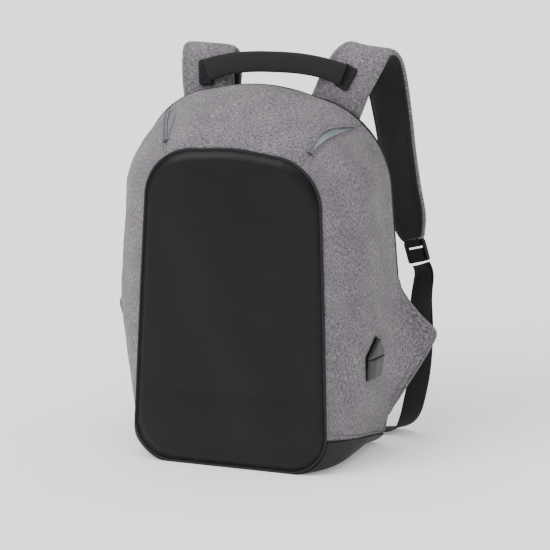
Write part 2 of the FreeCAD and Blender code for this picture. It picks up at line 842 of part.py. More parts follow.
# ------------------------------------------------------------ back padding
def back_pad(name, middle_x, width, height, bottom, role_corner):
    """Rounded cushion on the rear face."""
    body = new_body(name)
    sketch = polygon_sketch(body, rectangle(width, bottom, f"{bottom} + {height}"), role="XZ_Plane")
    pad_feature(body, sketch, "Sizes.pad_thickness")
    dress_edges(body, "Fillet", role_corner, lambda edge: along_y(edge))
    low = body.Shape.BoundBox.YMin
    dress_edges(body, "Fillet", "Sizes.pad_edge", lambda edge: edge.BoundBox.YMax < low + 0.01)
    turn = FreeCAD.Rotation(V(0, 0, 1), 180)
    body.Placement = FreeCAD.Placement(V(middle_x, size("pack_depth") / 2, 0), turn)
    return body


def along_y(edge):
    """True for a straight edge along Y."""
    box = edge.BoundBox
    return box.XLength < 0.01 and box.ZLength < 0.01


def back_padding():
    """Two back cushions on the flap and one lumbar cushion below it."""
    for name, side in SIDES.items():
        back_pad("back_pad_" + name, side * size("pad_spacing") / 2, "Sizes.pad_width",
                 "Sizes.pad_height", "Sizes.pad_bottom", "Sizes.pad_corner")
    back_pad("lumbar_pad", 0, "Sizes.lumbar_width", "Sizes.lumbar_height",
             "Sizes.lumbar_bottom", "Sizes.pad_corner")


# ------------------------------------------------------------ zip sliders
class Zip:
    """Slider and pull on the straight side stretch of the chain."""

    def __init__(self, bag, name, side):
        self.name = name
        waist_x, waist_z = bag.rear.waist
        shoulder_x, shoulder_z = bag.rear.shoulder
        inset = size("zip_inset") + size("chain_width") / 2
        start = V(side * (waist_x - inset), 0, waist_z)
        end = V(side * (shoulder_x - inset), 0, shoulder_z - inset)
        self.heading = (end - start).normalize()
        share = (size("slider_height") - start.z) / (end.z - start.z)
        spot = start + (end - start) * share
        origin = V(spot.x, bag.half_depth, spot.z)
        across = V(0, 1, 0).cross(self.heading) * -1
        turn = FreeCAD.Rotation(across, self.heading, V(0, 0, 0), "YXZ")
        self.placement = FreeCAD.Placement(origin, turn)

    def slider(self):
        """Slider body straddling the chain, with a bridge for the pull."""
        gap = size("slider_clearance")
        wide = size("slider_width") / 2
        long = size("slider_length") / 2
        deep = size("slider_depth")
        block = box_between(V(-wide, -long, gap), V(wide, long, deep))
        half = size("chain_width") / 2 + gap
        channel = box_between(V(-half, -long - 1, -1), V(half, long + 1, size("chain_thickness") + gap))
        lug = box_between(V(-1.6, -long + 1, deep), V(1.6, -long + 6, deep + 4))
        pin = size("pull_pin_radius")
        hole = Part.makeCylinder(pin + size("pull_pin_clearance"), 20,
                                 V(-10, -long + 3.5, deep + 1.9), V(1, 0, 0))
        body = block.cut(channel).fuse(lug).cut(hole)
        feature("zip_slider_" + self.name, body, self.placement)

    def pull(self):
        """Flat pull with two ears and a pin through the slider's lug."""
        long = size("slider_length") / 2
        deep = size("slider_depth")
        axis_y = -long + 3.5
        axis_z = deep + 1.9
        thick = size("pull_thickness")
        wide = size("pull_width") / 2
        length = size("pull_length")
        ear = 1.6 + size("slider_clearance")
        low = axis_z - thick / 2 + 0.3
        plate = box_between(V(-wide, axis_y - length, low), V(wide, axis_y + 1.6, low + thick))
        slot = box_between(V(-ear, axis_y - 5, low - 5), V(ear, axis_y + 9, low + 9))
        eye = Part.makeCylinder(1.6, 2 * wide, V(-wide, axis_y, axis_z), V(1, 0, 0))
        eye = eye.cut(slot)
        pin = Part.makeCylinder(size("pull_pin_radius"), 2 * wide, V(-wide, axis_y, axis_z), V(1, 0, 0))
        feature("zip_pull_" + self.name, plate.cut(slot).fuse(eye).fuse(pin), self.placement)


# ------------------------------------------------------------ charging port
class Port:
    """Charging socket on the right side under a hinged rubber cover."""

    def __init__(self, bag):
        height = size("port_height")
        y = size("port_setback") - bag.half_depth
        step = 12.0
        here = V(bag.skin_x(y, height), y, height)
        ahead = V(bag.skin_x(y - step, height), y - step, height)
        behind = V(bag.skin_x(y + step, height), y + step, height)
        above = V(bag.skin_x(y, height + step), y, height + step)
        under = V(bag.skin_x(y, height - step), y, height - step)
        along = (behind - ahead).normalize()
        rise = (above - under).normalize()
        normal = along.cross(rise).normalize()
        turn = FreeCAD.Rotation(along, rise, normal, "ZXY")
        self.placement = FreeCAD.Placement(here, turn)

    def outline(self, grow="0"):
        """Pentagon corners, grown outward by an expression."""
        foot = f"(Sizes.port_foot_half_width + {grow})"
        half = f"(Sizes.port_half_width + {grow})"
        apex = "Sizes.port_apex_half_width"
        low = f"-(Sizes.port_half_height + {grow})"
        top = f"Sizes.port_half_height + {grow}"
        shoulder = "Sizes.port_shoulder"
        return [("-" + foot, low), (foot, low), (half, shoulder), (apex, top),
                ("-" + apex, top), ("-" + half, shoulder)]

    def housing(self):
        """Rubber frame through the side panel, with the socket's hole."""
        body = new_body("port_frame")
        sketch = polygon_sketch(body, self.outline("Sizes.port_rim"), rise="-Sizes.port_depth")
        pad_feature(body, sketch, "Sizes.port_depth + Sizes.port_rim_rise")
        hole = rectangle("Sizes.socket_width", "-Sizes.socket_drop - Sizes.socket_height / 2",
                         "-Sizes.socket_drop + Sizes.socket_height / 2")
        pocket_feature(body, polygon_sketch(body, hole))
        body.Placement = self.placement
        doc.recompute()
        return body.Shape

    def plug_outline(self):
        """Solid block of the frame's outline, for cutting the side panel."""
        rim = size("port_rim")
        foot = size("port_foot_half_width") + rim
        half = size("port_half_width") + rim
        apex = size("port_apex_half_width")
        top = size("port_half_height") + rim
        shoulder = size("port_shoulder")
        depth = size("port_depth") + 6
        points = [V(-foot, -top, -depth), V(foot, -top, -depth), V(half, shoulder, -depth),
                  V(apex, top, -depth), V(-apex, top, -depth), V(-half, shoulder, -depth)]
        block = prism(points, V(0, 0, 2 * depth))
        block.Placement = self.placement
        return block

    def covers(self):
        """Fixed upper part and hinged lid, parted at the crease."""
        full = self.outline()
        crease = "Sizes.crease_height"
        slope = "(Sizes.port_half_width - Sizes.port_foot_half_width)"
        run = "(Sizes.port_half_height + Sizes.port_shoulder)"
        drop = f"(Sizes.port_shoulder - {crease} + Sizes.cover_gap)"
        side = f"(Sizes.port_half_width - {slope} * {drop} / {run})"
        lid_top = f"({crease} - Sizes.cover_gap)"
        upper = [("-" + side, crease), (side, crease), full[2], full[3], full[4], full[5]]
        lower = [full[0], full[1], (side, lid_top), ("-" + side, lid_top)]
        plans = (("port_cover_top", upper, "Sizes.port_rim_rise"),
                 ("port_cover_lid", lower, "Sizes.port_rim_rise + 0.3"))
        for name, corners, level in plans:
            body = new_body(name)
            pad_feature(body, polygon_sketch(body, corners, rise=level), "Sizes.cover_thickness")
            top = body.Shape.BoundBox.ZMax
            parting = size("crease_height") - size("cover_gap") / 2
            dress_edges(body, "Chamfer", "Sizes.cover_thickness * 0.22",
                        lambda edge: edge.BoundBox.ZMin > top - 0.01
                        and abs(edge.CenterOfMass.y - parting) > size("cover_gap"))
            body.Placement = self.placement

    def socket(self):
        """Metal socket shell with its plastic tongue and four contacts."""
        rise = size("port_rim_rise") - 0.2
        depth = size("socket_depth")
        drop = size("socket_drop")
        wide = size("socket_width")
        tall = size("socket_height")
        wall = size("socket_wall")
        outer = box_between(V(-wide / 2, -drop - tall / 2, rise - depth),
                            V(wide / 2, -drop + tall / 2, rise))
        bore = box_between(V(-wide / 2 + wall, -drop - tall / 2 + wall, rise - depth + 1),
                           V(wide / 2 - wall, -drop + tall / 2 - wall, rise + 1))
        feature("socket_shell", outer.cut(bore), self.placement)
        tongue_w = size("tongue_width") / 2
        tongue_t = size("tongue_thickness")
        base = rise - depth + 1
        low = -drop + 0.2
        tongue = box_between(V(-tongue_w, low, base), V(tongue_w, low + tongue_t, base + size("tongue_depth")))
        feature("socket_tongue", tongue, self.placement)
        pitch = size("contact_pitch")
        half = size("contact_width") / 2
        strips = [box_between(V(x - half, low - size("contact_thickness"), base),
                              V(x + half, low, base + size("tongue_depth") - 1))
                  for x in (-1.5 * pitch, -0.5 * pitch, 0.5 * pitch, 1.5 * pitch)]
        feature("socket_contacts", Part.makeCompound(strips), self.placement)


# ------------------------------------------------------------ whole pack
def build():
    """Build every sub-part."""
    fill_sheet()
    bag = Bag()
    port = Port(bag)
    bag.sewn_panels(port.plug_outline())
    bag.rear_panels()
    bag.inside()
    sleeve()
    port.housing()
    port.covers()
    port.socket()
    back_padding()
    straps = {}
    for name, side in SIDES.items():
        bag.wing(name, side)
        straps[name] = Strap(name, side)
        straps[name].layers()
        straps[name].lock()
        straps[name].bands()
        straps[name].webbing()
        zipper = Zip(bag, name, side)
        zipper.slider()
        zipper.pull()
    Handle(straps).build()
    doc.recompute()


def check_and_write():
    """Refuse any failed object, then write one STEP file per node."""
    for item in doc.Objects:
        if {"Invalid", "Error"} & set(item.State):
            raise RuntimeError("failed object " + item.Label)
    for node in NODES:
        if node.Shape.isNull() or not node.Shape.isValid():
            raise RuntimeError("bad shape " + node.Label)
    os.makedirs("parts", exist_ok=True)
    for node in NODES:
        node.Shape.exportStep(f"parts/{node.Label}.step")


build()
check_and_write()
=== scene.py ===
"""Dressed model of an anti-theft backpack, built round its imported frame.

Every length is in metres. +Z is up, the black front panel faces -Y, the wearer's back is at +Y
and the origin is the middle of the base, on the floor.
"""
import json
import logging
import math
from dataclasses import dataclass, field
from enum import Enum
from typing import Any, Callable, Optional, Sequence

import bmesh
import bpy
import numpy as np
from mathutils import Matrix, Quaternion, Vector


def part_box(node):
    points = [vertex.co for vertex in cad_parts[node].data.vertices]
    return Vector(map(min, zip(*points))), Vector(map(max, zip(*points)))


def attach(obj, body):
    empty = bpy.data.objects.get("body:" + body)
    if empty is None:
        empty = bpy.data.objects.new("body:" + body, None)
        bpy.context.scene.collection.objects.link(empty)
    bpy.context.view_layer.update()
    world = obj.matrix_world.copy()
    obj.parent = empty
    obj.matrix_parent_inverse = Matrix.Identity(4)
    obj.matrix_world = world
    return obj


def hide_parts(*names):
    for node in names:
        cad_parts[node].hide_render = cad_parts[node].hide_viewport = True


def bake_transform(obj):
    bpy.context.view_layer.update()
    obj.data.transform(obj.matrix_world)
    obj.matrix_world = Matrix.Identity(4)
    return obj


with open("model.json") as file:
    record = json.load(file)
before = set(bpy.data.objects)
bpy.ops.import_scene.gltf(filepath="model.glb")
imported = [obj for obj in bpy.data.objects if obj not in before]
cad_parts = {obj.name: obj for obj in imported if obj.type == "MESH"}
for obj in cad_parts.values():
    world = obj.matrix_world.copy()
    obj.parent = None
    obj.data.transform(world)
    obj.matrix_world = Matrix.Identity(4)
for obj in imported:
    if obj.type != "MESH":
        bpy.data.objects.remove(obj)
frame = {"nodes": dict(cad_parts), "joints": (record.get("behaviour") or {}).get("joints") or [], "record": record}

Array = np.ndarray
log = logging.getLogger("backpack")
MERGE_DISTANCE = 1e-6


class Side(Enum):
    """The two sides of the pack, as the sign of X."""

    LEFT = -1
    RIGHT = 1

    @property
    def tag(self) -> str:
        """Word used in node names."""
        return self.name.lower()


# ------------------------------------------------------------------ shader tools
class Value:
    """A node socket that takes part in arithmetic."""

    def __init__(self, tree: "Tree", socket: Any) -> None:
        """Keep the tree and the socket that carries the number."""
        self.tree = tree
        self.socket = socket

    def math(self, operation: str, *others: Any) -> "Value":
        """Add one Math node.

        Args:
            operation: Math operation.
            others: further operands, numbers or values.

        Returns:
            The result as a value.
        """
        return self.tree.math(operation, self, *others)

    def __add__(self, other: Any) -> "Value":
        """Sum."""
        return self.math("ADD", other)

    __radd__ = __add__

    def __mul__(self, other: Any) -> "Value":
        """Product."""
        return self.math("MULTIPLY", other)

    __rmul__ = __mul__

    def __sub__(self, other: Any) -> "Value":
        """Difference."""
        return self.math("SUBTRACT", other)

    def __rsub__(self, other: Any) -> "Value":
        """Reflected difference."""
        return self.tree.math("SUBTRACT", other, self)

    def __pow__(self, other: Any) -> "Value":
        """Power."""
        return self.math("POWER", other)

    def __gt__(self, other: Any) -> "Value":
        """Step that is 1 where the value is greater."""
        return self.math("GREATER_THAN", other)

    def sine(self) -> "Value":
        """Sine of the value in radians."""
        return self.math("SINE")

    def limited(self) -> "Value":
        """The value held between 0 and 1."""
        return self.math("MAXIMUM", 0.0).math("MINIMUM", 1.0)


class Tree:
    """One material under construction."""

    def __init__(self, name: str) -> None:
        """Make an empty node material.

        Args:
            name: material name.
        """
        self.material = bpy.data.materials.new(name)
        self.material.use_nodes = True
        self.nodes = self.material.node_tree.nodes
        self.links = self.material.node_tree.links
        self.nodes.clear()

    def node(self, kind: str, settings: Optional[dict] = None,
             sockets: Optional[dict] = None) -> Any:
        """Add any node: its settings first, then its socket values or links.

        Args:
            kind: node type name.
            settings: attributes of the node.
            sockets: values or links by socket name or number.

        Returns:
            The new node.
        """
        made = self.nodes.new(kind)
        for key, value in (settings or {}).items():
            setattr(made, key, value)
        for key, value in (sockets or {}).items():
            self.feed(made.inputs[key], value)
        return made

    def feed(self, socket: Any, value: Any) -> None:
        """Link a value or socket into an input, or set it as a constant."""
        if isinstance(value, Value):
            self.links.new(value.socket, socket)
        elif isinstance(value, bpy.types.NodeSocket):
            self.links.new(value, socket)
        elif isinstance(value, tuple) and len(value) == 3 and socket.type == "RGBA":
            socket.default_value = (*value, 1.0)
        else:
            socket.default_value = value

    def math(self, operation: str, *operands: Any) -> Value:
        """Add one Math node on numbers or values."""
        sockets = dict(enumerate(operands))
        made = self.node("ShaderNodeMath", {"operation": operation}, sockets)
        return Value(self, made.outputs[0])

    def mix(self, factor: Any, first: Any, second: Any) -> Any:
        """Blend two colours by a factor."""
        made = self.node("ShaderNodeMix", {"data_type": "RGBA"}, {0: factor, 6: first, 7: second})
        return made.outputs[2]

    def cloth_place(self) -> Any:
        """The piece's own cloth coordinates, in metres."""
        return self.node("ShaderNodeTexCoord").outputs["UV"]

    def solid_place(self) -> Any:
        """Object coordinates, in metres."""
        return self.node("ShaderNodeTexCoord").outputs["Object"]

    def stretched(self, place: Any, scale: tuple) -> Any:
        """Coordinates scaled along each axis."""
        made = self.node("ShaderNodeMapping", sockets={"Vector": place, "Scale": scale})
        return made.outputs[0]

    def noise(self, place: Any, scale: float, detail: float = 3.0, rough: float = 0.55) -> Value:
        """Smooth noise of one scale."""
        sockets = {"Vector": place, "Scale": scale, "Detail": detail, "Roughness": rough}
        return Value(self, self.node("ShaderNodeTexNoise", sockets=sockets).outputs[0])

    def parts(self, place: Any) -> tuple:
        """The X, Y and Z of a coordinate as values."""
        made = self.node("ShaderNodeSeparateXYZ", sockets={0: place})
        return tuple(Value(self, made.outputs[k]) for k in range(3))

    def bump(self, height: Value, strength: float, distance: float) -> Any:
        """Surface relief from a height."""
        sockets = {"Height": height, "Strength": strength, "Distance": distance}
        return self.node("ShaderNodeBump", sockets=sockets).outputs[0]

    def close(self, sockets: dict) -> bpy.types.Material:
        """Finish the material with one principled shader."""
        shader = self.node("ShaderNodeBsdfPrincipled", sockets=sockets)
        out = self.node("ShaderNodeOutputMaterial")
        self.links.new(shader.outputs[0], out.inputs[0])
        return self.material


@dataclass(frozen=True)
class Melange:
    """Two-tone plain weave: pale and dark yarns in short streaks both ways."""

    name: str = "mottled_polyester"
    pale: tuple = (0.46, 0.43, 0.465)
    middle: tuple = (0.150, 0.136, 0.152)
    dark: tuple = (0.036, 0.031, 0.037)
    yarn: float = 0.0011

    def build(self) -> bpy.types.Material:
        """Weave bump with streaks of pale and dark yarn, faded in broad patches."""
        tree = Tree(self.name)
        place = tree.cloth_place()
        across, along, _ = tree.parts(place)
        turns = 2 * math.pi / self.yarn
        warp = (across * turns).sine()
        weft = (along * turns).sine()
        weave = warp * weft * 0.5 + 0.5
        weft_streak = tree.noise(tree.stretched(place, (210, 1050, 1)), 1.0, 2.0, 0.65)
        warp_streak = tree.noise(tree.stretched(place, (1050, 260, 1)), 1.0, 2.0, 0.65)
        flecks = tree.noise(place, 1250.0, 1.0)
        picks = (weave > 0.5)
        yarn = weft_streak * picks + warp_streak * (1 - picks)
        cloud = tree.noise(place, 30.0, 4.0)
        tone = ((yarn * 0.5 + weft_streak * 0.2 + flecks * 0.3 - 0.5) * 3.8
                + (cloud - 0.5) * 0.35 + 0.46).limited()
        low = tree.mix((tone * 2).limited(), self.dark, self.middle)
        colour = tree.mix(((tone - 0.5) * 2).limited(), low, self.pale)
        relief = weave * 0.6 + yarn * 0.6
        return tree.close({
            "Base Color": colour, "Roughness": 0.88, "Sheen Weight": 0.12, "Sheen Roughness": 0.6,
            "Specular IOR Level": 0.25, "Normal": tree.bump(relief, 0.55, 0.0005)})


@dataclass(frozen=True)
class CoatedCloth:
    """Smooth coated cloth with faint folds and a soft sheen."""

    name: str
    colour: tuple
    gloss: float = 0.46
    folds: float = 0.6

    def build(self) -> bpy.types.Material:
        """Fine weave under a coating, with long soft folds that run downward."""
        tree = Tree(self.name)
        place = tree.solid_place()
        long_folds = tree.noise(tree.stretched(place, (26, 26, 5)), 1.0, 3.0, 0.5)
        crumple = tree.noise(place, 34.0, 4.0, 0.5)
        grain = tree.noise(place, 1500.0, 2.0)
        worn = tree.noise(place, 9.0, 3.0)
        deep = tuple(channel * 0.72 for channel in self.colour)
        colour = tree.mix((worn * 1.6 - 0.3).limited(), deep, self.colour)
        height = long_folds * (1.1 * self.folds) + crumple * (0.5 * self.folds) + grain * 0.035
        rough = worn * 0.14 + grain * 0.06 + (self.gloss - 0.1)
        return tree.close({
            "Base Color": colour, "Roughness": rough, "Specular IOR Level": 0.22,
            "Sheen Weight": 0.01, "Normal": tree.bump(height, 0.5, 0.004)})


@dataclass(frozen=True)
class AirMesh:
    """Three-dimensional mesh knit: staggered round holes in a dark face, with painted shade in the holes."""

    name: str = "air_mesh"
    face: tuple = (0.016, 0.016, 0.018)
    # painted shade: the dark colour of the holes stands in for the shade inside them
    hole: tuple = (0.0025, 0.0025, 0.003)
    pitch: float = 0.0036

    def build(self) -> bpy.types.Material:
        """Holes where two sets of slanting ribs both dip, coloured with painted shade."""
        tree = Tree(self.name)
        across, along, _ = tree.parts(tree.cloth_place())
        step = 2 * math.pi / self.pitch
        first = ((across + along * 0.6) * step).sine()
        second = ((across - along * 0.6) * step).sine()
        holes = (first * second * 2.2 - 0.5).limited()
        fibre = tree.noise(tree.solid_place(), 900.0, 3.0)
        # the holes take the painted shade colour; the face keeps its random fibre tone
        colour = tree.mix(
            holes, tree.mix(fibre, self.face, tuple(c * 1.9 for c in self.face)), self.hole)
        relief = fibre * 0.2 - holes
        return tree.close({
            "Base Color": colour, "Roughness": 0.7, "Specular IOR Level": 0.25,
            "Sheen Weight": 0.03, "Normal": tree.bump(relief, 0.8, 0.0012)})


@dataclass(frozen=True)
class Ribbed:
    """Woven tape: fine ribs across, chevrons of yarn along."""

    name: str
    colour: tuple
    rib: float = 0.0016
    rough: float = 0.62

    def build(self) -> bpy.types.Material:
        """Ribs from a sine along the tape, yarns from a slanting sine; the colour follows the relief as painted
        light on the crests and painted shade in the grooves, with random fibre fuzz.
        """
        tree = Tree(self.name)
        across, along, _ = tree.parts(tree.cloth_place())
        ribs = (along * (2 * math.pi / self.rib)).sine()
        yarns = ((across * 2.2 + along) * (2 * math.pi / self.rib)).sine()
        fuzz = tree.noise(tree.solid_place(), 1300.0, 2.0)
        relief = ribs * 0.5 + yarns * 0.3 + fuzz * 0.3
        # painted light and shade: tone follows the relief, paler on raised crests, darker in grooves; the fuzz
        # part is random fibre tone
        tone = (relief * 0.4 + 0.45).limited()
        # pale here is the painted highlight colour of the crests
        pale = tuple(channel * 2.1 + 0.004 for channel in self.colour)
        return tree.close({
            "Base Color": tree.mix(tone, self.colour, pale), "Roughness": self.rough,
            "Specular IOR Level": 0.25, "Normal": tree.bump(relief, 0.6, 0.0004)})


@dataclass(frozen=True)
class Moulded:
    """Moulded plastic, rubber or metal with a fine grain and rubbed patches."""

    name: str
    colour: tuple
    rough: float
    metal: float = 0.0
    grain: float = 1400.0
    depth: float = 0.15

    def build(self) -> bpy.types.Material:
        """Grain from fine noise, gloss varied by broad noise."""
        tree = Tree(self.name)
        place = tree.solid_place()
        fine = tree.noise(place, self.grain, 2.0)
        broad = tree.noise(place, 60.0, 3.0)
        pale = tuple(min(1.0, channel * 1.5 + 0.004) for channel in self.colour)
        return tree.close({
            "Base Color": tree.mix((broad * 1.4 - 0.3).limited(), self.colour, pale),
            "Roughness": broad * 0.16 + fine * 0.06 + (self.rough - 0.1), "Metallic": self.metal,
            "Normal": tree.bump(fine, self.depth, 0.0003)})


@dataclass(frozen=True)
class Reflective:
    """Grey reflective tape with a fine bead texture and a painted reflection, a bright sweep in broad patches."""

    name: str = "reflective"
    colour: tuple = (0.16, 0.19, 0.22)

    def build(self) -> bpy.types.Material:
        """Glass-bead grain under a slight clear coat, with a painted reflection that pales the tape in broad
        patches.
        """
        tree = Tree(self.name)
        place = tree.solid_place()
        beads = tree.noise(place, 2600.0, 2.0)
        # painted reflection: broad noise that sets where the tape is paler
        sweep = tree.noise(place, 40.0, 2.0)
        # pale here is the painted reflection's colour
        pale = tuple(min(1.0, channel * 1.5) for channel in self.colour)
        return tree.close({
            "Base Color": tree.mix((sweep * 1.5 - 0.25).limited(), self.colour, pale),
            "Roughness": beads * 0.12 + 0.3, "Metallic": 0.25,
            "Normal": tree.bump(beads, 0.2, 0.0002)})


class Wardrobe:
    """Every finish of the pack, built once and kept by name."""

    def __init__(self) -> None:
        """Build the finishes."""
        finishes = (
            Melange(),
            CoatedCloth("coated_nylon", (0.0055, 0.0055, 0.0070), 0.46, 0.5),
            CoatedCloth("boot_black", (0.0050, 0.0050, 0.0060), 0.48, 0.5),
            CoatedCloth("lining", (0.055, 0.055, 0.062), 0.62, 0.8),
            AirMesh(),
            Ribbed("webbing", (0.006, 0.006, 0.007)),
            Ribbed("piping_black", (0.008, 0.008, 0.009), 0.0011, 0.5),
            Ribbed("zip_tape", (0.011, 0.011, 0.012), 0.0009, 0.75),
            Ribbed("handle_fabric", (0.0135, 0.0120, 0.0130), 0.0011, 0.78),
            Ribbed("thread_dark", (0.030, 0.030, 0.034), 0.0008, 0.6),
            Ribbed("thread_grey", (0.16, 0.155, 0.165), 0.0008, 0.6),
            Moulded("buckle_plastic", (0.008, 0.008, 0.009), 0.36),
            Moulded("port_rubber", (0.006, 0.006, 0.007), 0.40, grain=900.0),
            Moulded("zip_teeth", (0.025, 0.025, 0.026), 0.4),
            Moulded("zip_metal", (0.05, 0.05, 0.055), 0.32, metal=0.8),
            Moulded("socket_steel", (0.55, 0.55, 0.57), 0.28, metal=1.0, depth=0.05),
            Moulded("socket_plastic", (0.75, 0.75, 0.74), 0.4),
            Moulded("socket_gold", (0.80, 0.58, 0.22), 0.25, metal=1.0, depth=0.05),
            Moulded("board", (0.10, 0.10, 0.105), 0.6),
            Reflective(),
        )
        self.made = {finish.name: finish.build() for finish in finishes}

    def dress(self, piece: bpy.types.Object, name: str) -> None:
        """Give a piece one finish."""
        piece.data.materials.clear()
        piece.data.materials.append(self.made[name])

    def redress_node(self, node: str, name: str) -> None:
        """Give a kept node a better finish without touching its mesh."""
        for slot in frame["nodes"][node].material_slots:
            slot.material = self.made[name]


# ------------------------------------------------------------------ surface tools
def unit(vectors: Array) -> Array:
    """Vectors scaled to length one."""
    return vectors / np.maximum(np.linalg.norm(vectors, axis=-1, keepdims=True), 1e-12)


def lengths_along(points: Array) -> Array:
    """Distance run along a path at each of its points, starting at zero."""
    steps = np.linalg.norm(np.diff(points, axis=0), axis=1)
    return np.concatenate([[0.0], np.cumsum(steps)])


def smooth_curve(values: Array, count: int) -> Array:
    """Catmull-Rom curve through rows of values.

    Each span is the cubic whose end slopes are half the chord across its neighbours.

    Args:
        values: control rows, shape (n, k).
        count: rows wanted.

    Returns:
        Rows along the curve, shape (count, k).
    """
    values = np.asarray(values, float)
    last = len(values) - 1
    place = np.linspace(0, last, count)
    index = np.minimum(place.astype(int), last - 1)
    a = (place - index)[:, None]
    before, here = values[np.maximum(index - 1, 0)], values[index]
    after, beyond = values[index + 1], values[np.minimum(index + 2, last)]
    return 0.5 * (2 * here + (after - before) * a
                  + (2 * before - 5 * here + 4 * after - beyond) * a ** 2
                  + (3 * here - before - 3 * after + beyond) * a ** 3)


def evenly(points: Array, count: int) -> Array:
    """Points spaced evenly along a path."""
    run = lengths_along(points)
    want = np.linspace(0, run[-1], count)
    return np.stack([np.interp(want, run, points[:, k]) for k in range(points.shape[1])], axis=1)


def grid_normals(points: Array) -> Array:
    """Unit normals of a grid: the cross product of its two directions."""
    return unit(np.cross(np.gradient(points, axis=1), np.gradient(points, axis=0)))


def ripple(points: Array, wave: float, seed: int) -> Array:
    """Gentle unevenness between -1 and 1: a sum of seven slanting sines of mixed wavelength.

    Args:
        points: positions, shape (..., 3).
        wave: typical wavelength.
        seed: number that fixes the slants.

    Returns:
        One number per point.
    """
    draw = np.random.default_rng(seed)
    slants = unit(draw.normal(size=(7, 3))) * draw.uniform(0.6, 1.7, (7, 1)) * (2 * math.pi / wave)
    shifts = draw.uniform(0, 2 * math.pi, 7)
    return np.sin(points @ slants.T + shifts).mean(axis=-1) * 1.6


def new_piece(name: str, vertices: Array, faces: Array,
              uv: Optional[Array] = None) -> bpy.types.Object:
    """Put a mesh worked out as arrays into the scene.

    Args:
        name: piece name.
        vertices: positions, shape (n, 3).
        faces: vertex numbers, shape (m, 4) or a list of rows.
        uv: cloth coordinates of each face corner in order.

    Returns:
        The new object.
    """
    mesh = bpy.data.meshes.new(name)
    mesh.from_pydata(vertices.tolist(), [], [list(map(int, row)) for row in faces])
    mesh.update()
    if uv is not None:
        layer = mesh.uv_layers.new(name="UVMap")
        layer.data.foreach_set("uv", np.asarray(uv, np.float32).ravel())
    mesh.polygons.foreach_set("use_smooth", np.ones(len(mesh.polygons), bool))
    piece = bpy.data.objects.new(name, mesh)
    bpy.context.scene.collection.objects.link(piece)
    return piece


def quad_rows(rows: int, columns: int, spans: int) -> tuple:
    """Corner numbers of the quads of a grid.

    Args:
        rows: rows of positions.
        columns: positions in a row.
        spans: quads in a row; as many as columns where the last column joins the first.

    Returns:
        The faces, and the row and column of each.
    """
    r, c = np.meshgrid(np.arange(rows - 1), np.arange(spans), indexing="ij")
    r, c = r.ravel(), c.ravel()
    c2 = (c + 1) % columns
    faces = np.stack([r * columns + c, r * columns + c2,
                      (r + 1) * columns + c2, (r + 1) * columns + c], 1)
    return faces, r, c


def grid_piece(name: str, points: Array, loop: bool = False, capped: bool = False,
               flip: bool = False) -> bpy.types.Object:
    """Quads over a grid of positions, with cloth coordinates in metres.

    Args:
        name: piece name.
        points: shape (rows, columns, 3).
        loop: the last column joins the first.
        capped: close both ends of a looped grid with fans.
        flip: turn every face over.

    Returns:
        The new object.
    """
    rows, columns = points.shape[:2]
    faces, r, c = quad_rows(rows, columns, columns if loop else columns - 1)
    middle = points[rows // 2]
    ring = np.concatenate([middle, middle[:1]]) if loop else middle
    across = lengths_along(ring)
    along = lengths_along(points[:, columns // 2])
    uv = np.stack([np.stack([across[c], along[r]], 1), np.stack([across[c + 1], along[r]], 1),
                   np.stack([across[c + 1], along[r + 1]], 1),
                   np.stack([across[c], along[r + 1]], 1)], 1)
    vertices = points.reshape(-1, 3)
    if capped:
        ends = np.stack([points[0].mean(0), points[-1].mean(0)])
        base = rows * columns
        vertices = np.concatenate([vertices, ends])
        k = np.arange(columns)
        k2 = (k + 1) % columns
        near = np.stack([np.full(columns, base), k2, k], 1)
        far = np.stack([np.full(columns, base + 1), k + base - columns, k2 + base - columns], 1)
        caps = np.concatenate([near, far])
        cap_uv = vertices[caps][:, :, [0, 2]]
        corner_rows = faces.tolist() + caps.tolist()
        uv = np.concatenate([uv.reshape(-1, 2), cap_uv.reshape(-1, 2)])
    else:
        corner_rows = faces.tolist()
        uv = uv.reshape(-1, 2)
    piece = new_piece(name, vertices, corner_rows, uv)
    if flip:
        piece.data.flip_normals()
    return piece


def disc_grid(loop: Array, centre: Array, rings: int, power: float = 1.0) -> tuple:
    """Rings that shrink from an outline to its centre.

    Each ring is the outline scaled about the centre by a share that falls from 1 to 0.

    Args:
        loop: closed outline, shape (n, 3).
        centre: middle point.
        rings: number of rings.
        power: below 1 crowds the rings toward the edge.

    Returns:
        The grid of positions and the share of each ring.
    """
    share = 1 - np.linspace(0, 1, rings) ** (1 / power)
    share[-1] = 0.004
    return centre + (loop[None] - centre) * share[:, None, None], share


def disc_piece(name: str, points: Array, flat: tuple = (0, 2),
               flip: bool = False) -> bpy.types.Object:
    """Piece from a ring grid, closed at its middle, with flat cloth coordinates."""
    rows, columns = points.shape[:2]
    faces, _, _ = quad_rows(rows, columns, columns)
    vertices = np.concatenate([points.reshape(-1, 3), points[-1].mean(0)[None]])
    k = np.arange(columns)
    base = (rows - 1) * columns
    fan = np.stack([k + base, (k + 1) % columns + base, np.full(columns, rows * columns)], 1)
    corner_rows = faces.tolist() + fan.tolist()
    order = np.concatenate([faces.ravel(), fan.ravel()])
    piece = new_piece(name, vertices, corner_rows, vertices[order][:, list(flat)])
    if flip:
        piece.data.flip_normals()
    return piece


